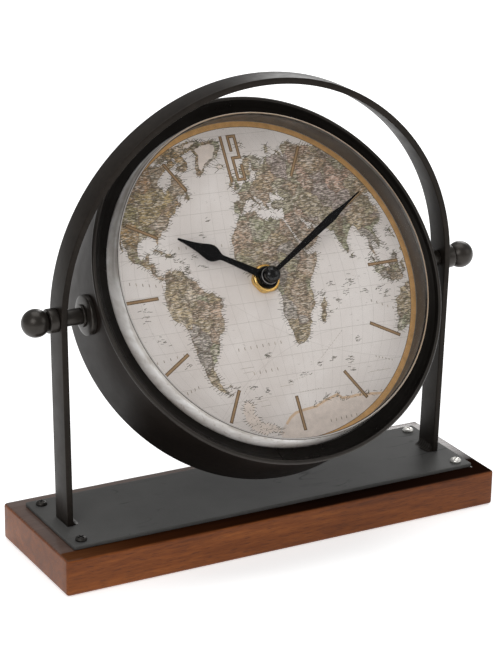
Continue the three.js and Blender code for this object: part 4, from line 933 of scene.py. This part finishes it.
def dial():
    pts, faces, loops = [], [], []

    def add(loop, kind):
        turn = sum(a[0] * b[1] - b[0] * a[1] for a, b in zip(loop, loop[1:] + loop[:1]))
        if turn < 0:
            loop = loop[::-1]
        start = len(pts)
        pts.extend([Vector(p) for p in loop])
        faces.append(list(range(start, start + len(loop))))
        loops.append((loop, kind))

    def circle(rr, n):
        return [(rr * math.cos(2 * math.pi * k / n), rr * math.sin(2 * math.pi * k / n)) for k in range(n)]

    for rr, kind in ((92.6, "sheet"), (90.95, "r3"), (90.62, "r2"), (87.62, "r1"), (87.32, "r0")):
        add(circle(rr, 288), kind)
    add([(x + WORKS_X, y + WORKS_Y) for x, y in circle(4.2, 48)], "hole")
    # hour strokes, each with a lighter middle
    for h in range(1, 12):
        a = math.radians(90 - 30 * h)
        c, s = math.cos(a), math.sin(a)
        for w, r0, r1, kind in ((0.98, 63.9, 83.0, "tick"), (0.50, 64.4, 82.5, "tick_in")):
            add([(r0 * c + w * s, r0 * s - w * c), (r1 * c + w * s, r1 * s - w * c), (r1 * c - w * s, r1 * s + w * c), (r0 * c - w * s, r0 * s + w * c)], kind)
    # the twelve, drawn as squared double lines
    for w, kind in ((0.92, "tick"), (0.46, "tick_in")):
        e = w
        add([(-4.0 - e, 57.1 - e * 0.6), (-4.0 + e, 57.1 - e * 0.6), (-4.0 + e, 82.5 + e * 0.6), (-4.0 - e, 82.5 + e * 0.6)], kind)
        path = [(0.35, 74.6), (0.35, 82.3), (4.35, 82.3), (4.35, 70.1), (0.1, 70.1), (0.1, 57.7), (4.3, 57.7), (4.3, 65.2)]
        for (x0, y0), (x1, y1) in zip(path, path[1:]):
            x0, x1, y0, y1 = min(x0, x1), max(x0, x1), min(y0, y1), max(y0, y1)
            add([(x0 - e, y0 - e), (x1 + e, y0 - e), (x1 + e, y1 + e), (x0 - e, y1 + e)], kind)
    def stroke(x, y, a, r0, r1, w0, w1, kind="stroke"):
        ux, uy = math.cos(a), math.sin(a)
        add([(x + ux * r0 + uy * w0, y + uy * r0 - ux * w0), (x + ux * r1 + uy * w1, y + uy * r1 - ux * w1), (x + ux * r1 - uy * w1, y + uy * r1 + ux * w1), (x + ux * r0 - uy * w0, y + uy * r0 + ux * w0)], kind)

    shores = []
    for i, (name, ll) in enumerate(LAND_LL.items()):
        loop = coast(ll, 100 + i)
        add(loop, "land")
        if name in ICE:
            cx, cy = sum(p[0] for p in loop) / len(loop), sum(p[1] for p in loop) / len(loop)
            add([(cx + (x - cx) * 0.66, cy + (y - cy) * 0.72) for x, y in loop], "inland_ice")
        shores.append((loop, 0.98, 0.9))
    sea = coast(CASPIAN, 77)
    shores.append((sea, 2.4, 0.6))
    for i, mm in enumerate((EAST_ISLES, SOUTH_LAND)):
        loop = coast(mm, 90 + i, 0.24, True)
        add(loop, "land")
        shores.append((loop, 0.98, 0.9))
    add(coast(ICE_CAP, 78, 0.12, True), "ice")
    hook = coast(PENINSULA, 79, 0.2, True)
    add(hook, "ice_land")
    shores.append((hook, 0.55, 0.60))
    spine = [(-30.6, -64.5), (-29.6, -69.5), (-28.2, -74.5), (-24.5, -78.2), (-18.5, -79.4), (-15.0, -81.0)]
    grit = random.Random(9)
    for (x0, y0), (x1, y1) in zip(spine, spine[1:]):
        for k in range(9):
            t = grit.random()
            stroke(x0 + (x1 - x0) * t + grit.gauss(0, 1.1), y0 + (y1 - y0) * t + grit.gauss(0, 1.1), grit.uniform(-0.9, 0.9), -grit.uniform(0.3, 0.8), grit.uniform(0.3, 0.9), 0.15, 0.11, grit.choice(("mark", "stroke", "shore")))
    # a warmer band along the ice edge
    edge = ICE_CAP[1:14]
    for (x0, y0), (x1, y1) in zip(edge, edge[1:]):
        L = math.hypot(x1 - x0, y1 - y0)
        ex, ey, nx, ny = (x1 - x0) / L * 0.5, (y1 - y0) / L * 0.5, (y1 - y0) / L, -(x1 - x0) / L
        add([(x0 - ex - nx * 0.25, y0 - ey - ny * 0.25), (x0 - ex + nx * 1.15, y0 - ey + ny * 1.15), (x1 + ex + nx * 1.15, y1 + ey + ny * 1.15), (x1 + ex - nx * 0.25, y1 + ey - ny * 0.25)], "shore")
    # short strokes that fringe the coasts, in place of a chart's fine print
    rnd = random.Random(41)
    for loop, gap, length in shores:
        turn = sum(a[0] * b[1] - b[0] * a[1] for a, b in zip(loop, loop[1:] + loop[:1]))
        out = 1 if turn > 0 else -1
        run = 0.0
        for p, q in zip(loop, loop[1:] + loop[:1]):
            dx, dy = q[0] - p[0], q[1] - p[1]
            L = math.hypot(dx, dy)
            run += L
            if run < gap or math.hypot(*p) > 86.0:
                continue
            run = rnd.uniform(-0.35, 0.25)
            a = math.atan2(-out * dx / L, out * dy / L)
            flat = 0.0 if abs(a) < math.pi / 2 else math.pi
            a = a + 0.60 * math.atan2(math.sin(flat - a), math.cos(flat - a)) + rnd.uniform(-0.32, 0.32)
            stroke(p[0], p[1], a, rnd.uniform(-1.4, 0.1), length * (rnd.uniform(1.1, 2.3) + 1.8 * rnd.random() ** 3), rnd.uniform(0.14, 0.19), rnd.uniform(0.08, 0.13))
    # strokes along the ice edge
    for (x0, y0), (x1, y1), n in (((8, -70.5), (17, -68.2), 9), ((15, -68), (26, -66.8), 16), ((24, -69.5), (29, -71.5), 8), ((28, -69), (42, -69.2), 12), ((42, -69.4), (52, -70.3), 6)):
        for k in range(n):
            t = rnd.random()
            stroke(x0 + (x1 - x0) * t + rnd.uniform(-0.8, 0.8), y0 + (y1 - y0) * t + rnd.uniform(-1.2, 1.2), rnd.choice((0.25, 0.5, -0.3, 1.0)) + rnd.uniform(-0.25, 0.25), 0, rnd.uniform(1.3, 2.8), 0.17, 0.11)
    # small groups of strokes at the islands out at sea
    for cx, cy, sx, sy, n in ((-10.4, -39.8, 3.0, 2.4, 13), (18.5, -48.7, 2.2, 1.6, 8), (27.9, -48.0, 3.4, 1.5, 12), (37.6, -50.3, 2.6, 2.4, 13), (37.1, -54.8, 2.4, 1.4, 8), (45.0, -39.8, 2.4, 1.6, 8), (-23.2, -55.8, 2.6, 1.1, 9), (-15.8, -58.2, 1.8, 2.6, 9), (-33.0, -53.8, 2.2, 0.8, 6), (-22.1, -61.9, 1.6, 0.8, 4), (-30, 30, 3.0, 1.4, 7), (-74, -8, 4.0, 5.0, 14), (-68, -24, 4.0, 3.0, 9), (-34, 13, 3.0, 1.5, 6), (48, -9, 3.5, 2.5, 10), (57, -14, 3.0, 2.0, 8), (40, -17, 3.5, 2.0, 9), (-56, -38, 3.0, 1.5, 5), (-24, 38, 2.6, 1.4, 6), (-45, 40, 3, 1.4, 5), (-44, 13, 2.6, 4.6, 26), (-51, 21.5, 4.5, 1.8, 20), (-46, 17.5, 3.2, 2, 12), (-48, 9, 4, 2.2, 16), (-58, 24, 3.5, 1.6, 10), (-62, 13, 3.5, 2, 9), (-38, 19, 2.5, 1.6, 7), (-3, 62, 3, 2, 8), (8, 70, 5, 2.5, 10), (30, -12, 2.5, 3, 8), (34, -22, 2, 2, 6), (38.3, -7.3, 2, 2.5, 9), (32.1, -11.4, 3, 2, 8), (51, -7.3, 2, 2.4, 9), (66.1, -13.5, 2.4, 1.8, 8), (70.1, -17.1, 2, 2, 7), (45.7, -13.4, 2, 1.6, 6), (73.3, 18, 2, 4, 14), (80.8, 17, 1.6, 4, 12), (77.4, 8.9, 2.4, 3, 12), (55.8, 5.8, 2.4, 1.6, 9), (66, 4, 2.4, 2.4, 9), (70, -16, 4, 3, 9), (-1, -55.8, 1.6, 0.8, 5), (8.5, -53.0, 3.5, 1.0, 6)):
        for k in range(n):
            stroke(cx + rnd.gauss(0, sx * 0.5), cy + rnd.gauss(0, sy * 0.5), rnd.uniform(-0.35, 0.45), -rnd.uniform(0.4, 0.9), rnd.uniform(0.5, 1.6), rnd.uniform(0.12, 0.18), rnd.uniform(0.09, 0.14))
    # rows of plain short bars across the open sea
    for (x0, y0), (x1, y1), n, h in (((-26.2, -34.3), (-0.6, -34.0), 8, 0.85), ((-20.9, -48.1), (-6.7, -47.9), 5, 0.85), ((16.4, -80.4), (32.3, -79.9), 6, 0.8), ((-61.5, -52.3), (-54.5, -50.3), 4, 0.8), ((53.5, -50.7), (62.7, -54.2), 6, 0.45), ((-45, 25), (-20, 23), 7, 0.8), ((-78, 10), (-60, 6), 6, 0.8), ((-74, -34), (-58, -32), 5, 0.7), ((60, -20), (72, -26), 5, 0.7)):
        for k in range(n):
            t = k / (n - 1)
            x, y = x0 + (x1 - x0) * t, y0 + (y1 - y0) * t
            tilt = math.pi / 2 + rnd.uniform(-0.12, 0.12)
            stroke(x, y, tilt, -h, h, 0.24, 0.24, "mark")
    # dotted runs and two ruled notes
    for (x0, y0), (x1, y1), n in (((2.5, -62.4), (16.5, -62.2), 9), ((13.0, -53.4), (-1.3, -55.8), 9), ((37.4, -33.3), (19.9, -46.7), 12), ((-30, -58), (-26, -54), 4)):
        for k in range(n):
            t = k / n
            x, y = x0 + (x1 - x0) * t, y0 + (y1 - y0) * t
            stroke(x, y, math.atan2(y1 - y0, x1 - x0), 0, 0.62 * math.hypot(x1 - x0, y1 - y0) / n, 0.10, 0.10, "mark")
    for x, y, L in ((47, -58.5, 13), (-8, -57.6, 8), (-24, -63.5, 7), (-22, -66.2, 6), (-28, -44.5, 8), (-27, -47, 6)):
        stroke(x, y, rnd.uniform(-0.03, 0.06), 0, L, 0.085, 0.085, "mark")
    vs, _, fs, _, _, _ = geometry.delaunay_2d_cdt(pts, [], faces, 1, 1e-5, False)
    fs = [f for f in fs if abs((vs[f[1]] - vs[f[0]]).cross(vs[f[2]] - vs[f[0]])) > 1e-9]
    cen = np.array([[sum(vs[i].x for i in f) / 3, sum(vs[i].y for i in f) / 3] for f in fs])
    cells = {}
    for i, (x, y) in enumerate(cen):
        cells.setdefault((int(x // 2), int(y // 2)), []).append(i)

    def inside(loop):
        """Indices of the triangles whose middle lies in the loop."""
        p = np.array(loop)
        lo, hi = p.min(0) // 2, p.max(0) // 2
        if (hi - lo).prod() > 400:
            near = np.arange(len(cen))
        else:
            near = np.array([i for cx in range(int(lo[0]), int(hi[0]) + 1) for cy in range(int(lo[1]), int(hi[1]) + 1) for i in cells.get((cx, cy), ())], dtype=int)
        if not len(near):
            return near
        x, y = cen[near].T
        hit = np.zeros(len(near), bool)
        for (x0, y0), (x1, y1) in zip(p, np.roll(p, -1, 0)):
            if y0 != y1:
                hit ^= ((y0 > y) != (y1 > y)) & (x < (x1 - x0) * (y - y0) / (y1 - y0) + x0)
        return near[hit]

    paint = np.zeros(len(cen), int)
    for want, m in (("ice", 7), ("shore", 2), ("land", 1), ("inland_ice", 7), ("ice_land", 7), ("mark", 9), ("stroke", 8), ("tick", 4), ("tick_in", 5)):
        for loop, kind in loops:
            if kind == want:
                paint[inside(loop)] = m
    rr = np.hypot(*cen.T)
    for r0, m in ((87.32, 4), (87.62, 3), (90.62, 6), (90.95, 0)):
        paint[rr > r0] = m
    ok = (rr < 92.6) & (np.hypot(cen[:, 0] - WORKS_X, cen[:, 1] - WORKS_Y) > 4.19)
    keep = [f for f, k in zip(fs, ok) if k]
    kind_of = [int(m) for m, k in zip(paint, ok) if k]
    used = sorted({i for f in keep for i in f})
    pos = {i: n for n, i in enumerate(used)}
    n = len(used)
    verts = [(vs[i].x, vs[i].y, DIAL_S) for i in used] + [(vs[i].x, vs[i].y, DIAL_S - 0.22) for i in used]
    top = [tuple(pos[i] for i in f) for f in keep]
    edges = {}
    for f in top:
        for a, b2 in zip(f, f[1:] + f[:1]):
            edges[(a, b2)] = edges.get((a, b2), 0) + 1
    rim = [(a, b2) for (a, b2) in edges if (b2, a) not in edges]
    bottom = [tuple(i + n for i in reversed(f)) for f in top]
    side = [(b2, a, a + n, b2 + n) for a, b2 in rim]
    me = bpy.data.meshes.new("dial_printed_sheet")
    me.from_pydata([(x * MM, y * MM, z * MM) for x, y, z in verts], [], top + bottom + side)
    ob = bpy.data.objects.new("dial_printed_sheet", me)
    bpy.context.scene.collection.objects.link(ob)
    ob.matrix_world = DRUM
    finish(ob, "drum", ["dial_paper"], [PAPER, LAND, SHORE, GOLD, TICK, TICK_IN, RIM_GREY, ICE_PRINT, STROKE, MARK], 30, smooth=False)
    me.polygons.foreach_set("material_index", kind_of + [0] * (len(bottom) + len(side)))
    print("dial faces", len(me.polygons))


dial()


# ------------------------------------------------------------------ nut, hands, cap
def spline(points, n=10):
    """Catmull-Rom through (distance, half width) points."""
    out = []
    P = [points[0]] + list(points) + [points[-1]]
    for i in range(1, len(P) - 2):
        for k in range(n):
            t = k / n
            p = []
            for d in range(2):
                a, b2, c, e = P[i - 1][d], P[i][d], P[i + 1][d], P[i + 2][d]
                p.append(0.5 * (2 * b2 + (c - a) * t + (2 * a - 5 * b2 + 4 * c - e) * t * t + (3 * b2 - a - 3 * c + e) * t ** 3))
            out.append(tuple(p))
    out.append(points[-1])
    return out


def hand(name, node, body, half, hub, s0, s1, direction, hub_bore, extra=()):
    a0 = math.asin(half[0][1] / hub)
    side = spline(half, 9)
    out = [(hub * math.cos(a0 + (2 * math.pi - 2 * a0) * k / 64), hub * math.sin(a0 + (2 * math.pi - 2 * a0) * k / 64)) for k in range(65)]
    out += [(d, -w) for d, w in side[1:]] + [(d, w) for d, w in reversed(side[1:-1])]
    M = WORKS @ Matrix.Rotation(math.radians(direction), 4, "Z")
    n, b = len(out), 0.10
    # a plate with eased edges
    cx = np.array(out)
    prev, nxt = np.roll(cx, 1, 0), np.roll(cx, -1, 0)
    tan = nxt - prev
    nor = np.stack([tan[:, 1], -tan[:, 0]], 1) / (np.linalg.norm(tan, axis=1)[:, None] + 1e-9)
    area = 0.5 * np.sum(cx[:, 0] * nxt[:, 1] - nxt[:, 0] * cx[:, 1])
    inward = -nor if area > 0 else nor
    ins = cx + inward * b
    verts = [(x, y, s0) for x, y in ins] + [(x, y, s0 + b) for x, y in cx] + [(x, y, s1 - b) for x, y in cx] + [(x, y, s1) for x, y in ins]
    faces = [tuple(range(n)), tuple(range(3 * n, 4 * n))]
    for l in range(3):
        faces += [(l * n + i, l * n + (i + 1) % n, (l + 1) * n + (i + 1) % n, (l + 1) * n + i) for i in range(n)]
    build(name, verts, faces, body, [node], [HAND], M, "hand_black", 25)
    for nm, prof in extra:
        # the boss's rounded upper edge takes the pale band: a painted highlight
        build(nm, *lathe(prof, 64), body=body, replaces=(), mats=[HUB, HUB_HIGHLIGHT], matrix=WORKS, slot="hand_black", angle=35,
              face_mat=lambda me: [1 if 17.15 < q.center.z / MM < 18.02 and math.hypot(q.center.x, q.center.y) > 3.95 * MM else 0 for q in me.polygons])


hand("hour_hand_blade", "hour_hand", "hour",
     [(6, 2.2), (10, 2.0), (16, 1.8), (22, 1.6), (26.5, 1.5), (28.2, 1.75), (29.6, 2.7), (31, 3.7), (32.8, 4.5), (35, 4.6), (37.5, 4.0), (40.5, 3.0), (44.5, 2.0), (49, 1.2), (52.5, 0.75), (53.7, 0.5), (54, 0.22)],
     6.1, 15.15, 15.85, HOUR_DIR, 2.67,
     [("hour_hand_boss", fillet([(2.67, 15.8), (5.1, 15.8), (4.75, 16.6), (4.7, 18.1), (2.67, 18.1)], [0, 0.1, 0.4, 0.5, 0.1], 5))])
hand("minute_hand_blade", "minute_hand", "minute",
     [(4, 1.25), (10, 1.3), (20, 1.5), (30, 1.75), (38, 1.9), (44, 2.05), (50, 2.25), (53, 2.25), (56, 1.85), (60, 1.3), (64, 0.9), (68, 0.65), (72, 0.5), (75.7, 0.42), (76, 0.2)],
     4.1, 19.15, 19.85, MINUTE_DIR, 1.7)
cap = [(0, 24.28)] + [(4.65 * math.sin(math.radians(a)), 20.95 + 3.33 * math.cos(math.radians(a))) for a in range(6, 98, 7)] + [(4.5, 20.15), (1.7, 20.15), (1.7, 21.2), (0, 21.2)]
build("hand_cap_dome", *lathe(cap, 72, False), body="minute", replaces=["hand_cap"], mats=[HUB], matrix=WORKS, slot="hand_black", angle=35)


def nut():
    R6 = 15.0 / math.sqrt(3)
    hexagon = [(R6 * math.cos(math.radians(60 * i + 3)), R6 * math.sin(math.radians(60 * i + 3))) for i in range(6)]
    ob = raw("mounting_nut_hex", *prism(hexagon, DIAL_S + 0.3, 14.6), matrix=WORKS)
    dome = fillet([(3.98, DIAL_S), (8.0, DIAL_S), (8.0, 12.9), (7.4, 14.1), (7.15, 13.8), (6.9, 14.0), (6.8, 14.6), (6.3, 14.6), (5.6, 14.4), (3.98, 14.2)], [0, 0, 0.2, 0.15, 0.1, 0.1, 0.1, 0.15, 0.1, 0.1], 3)
    boolean(ob, raw("nut_turn", *lathe(dome, 96), matrix=WORKS), "INTERSECT")
    ob.data.transform(ob.matrix_world)
    ob.matrix_world = WORLD
    finish(ob, "drum", ["mounting_nut"], [BRASS], 25)


nut()

# ------------------------------------------------------------------ floor, light, camera
bpy.ops.mesh.primitive_plane_add(size=14, location=(0, 0, -0.0002))
floor = bpy.context.object
floor.name = "floor"
fl = Nodes("floor_white")
fl.base((0.92, 0.92, 0.92))
fl.put(**{"Emission Color": (1, 1, 1, 1), "Emission Strength": 0.50})
fl.rough(0.7)
floor.data.materials.append(fl.mat)

world = bpy.data.worlds.new("studio")
bpy.context.scene.world = world
world.use_nodes = True
world.node_tree.nodes["Background"].inputs["Color"].default_value = (1, 1, 1, 1)
world.node_tree.nodes["Background"].inputs["Strength"].default_value = 0.36


def area(name, loc, target, size, power, size_y=None):
    l = bpy.data.lights.new(name, "AREA")
    l.shape, l.size, l.size_y, l.energy = "RECTANGLE", size, size_y or size, power
    o = bpy.data.objects.new(name, l)
    bpy.context.scene.collection.objects.link(o)
    o.location = loc
    o.rotation_euler = (Vector(target) - Vector(loc)).to_track_quat("-Z", "Y").to_euler()
    return o


area("key_left", (-1.5, -1.3, 1.5), (0, 0, 0.13), 1.2, 18)
area("fill_right", (1.4, -1.1, 0.9), (0, 0, 0.13), 1.0, 3.5)
area("top", (0.1, 0.3, 2.0), (0, 0, 0.1), 1.6, 15)
area("back_right", (1.3, 1.4, 1.0), (0, 0, 0.15), 0.9, 12)

AZ, EL, ROLL, FPX = math.radians(-29.1), math.radians(20.16), math.radians(1.03), 2406.39
back = Vector((math.sin(AZ) * math.cos(EL), -math.cos(AZ) * math.cos(EL), math.sin(EL)))
right = Vector((math.cos(AZ), math.sin(AZ), 0))
up = back.cross(right)
right2 = math.cos(ROLL) * right + math.sin(ROLL) * up
up2 = -math.sin(ROLL) * right + math.cos(ROLL) * up
pos = Vector((-25.96, -39.56, 127.4)) * MM + back * 1253.45 * MM
cam = bpy.data.cameras.new("camera")
cam.sensor_width, cam.sensor_fit = 36.0, "AUTO"
cam.lens = FPX * 36.0 / 669.0
cam.clip_start, cam.clip_end = 0.05, 50
cam_ob = bpy.data.objects.new("camera", cam)
bpy.context.scene.collection.objects.link(cam_ob)
m = Matrix.Identity(4)
for i, v in enumerate((right2, up2, back)):
    for j in range(3):
        m[j][i] = v[j]
for j in range(3):
    m[j][3] = pos[j]
cam_ob.matrix_world = m
bpy.context.scene.camera = cam_ob
bpy.context.scene.view_settings.view_transform = "Standard"
bpy.context.scene.view_settings.look = "None"

bpy.context.view_layer.update()
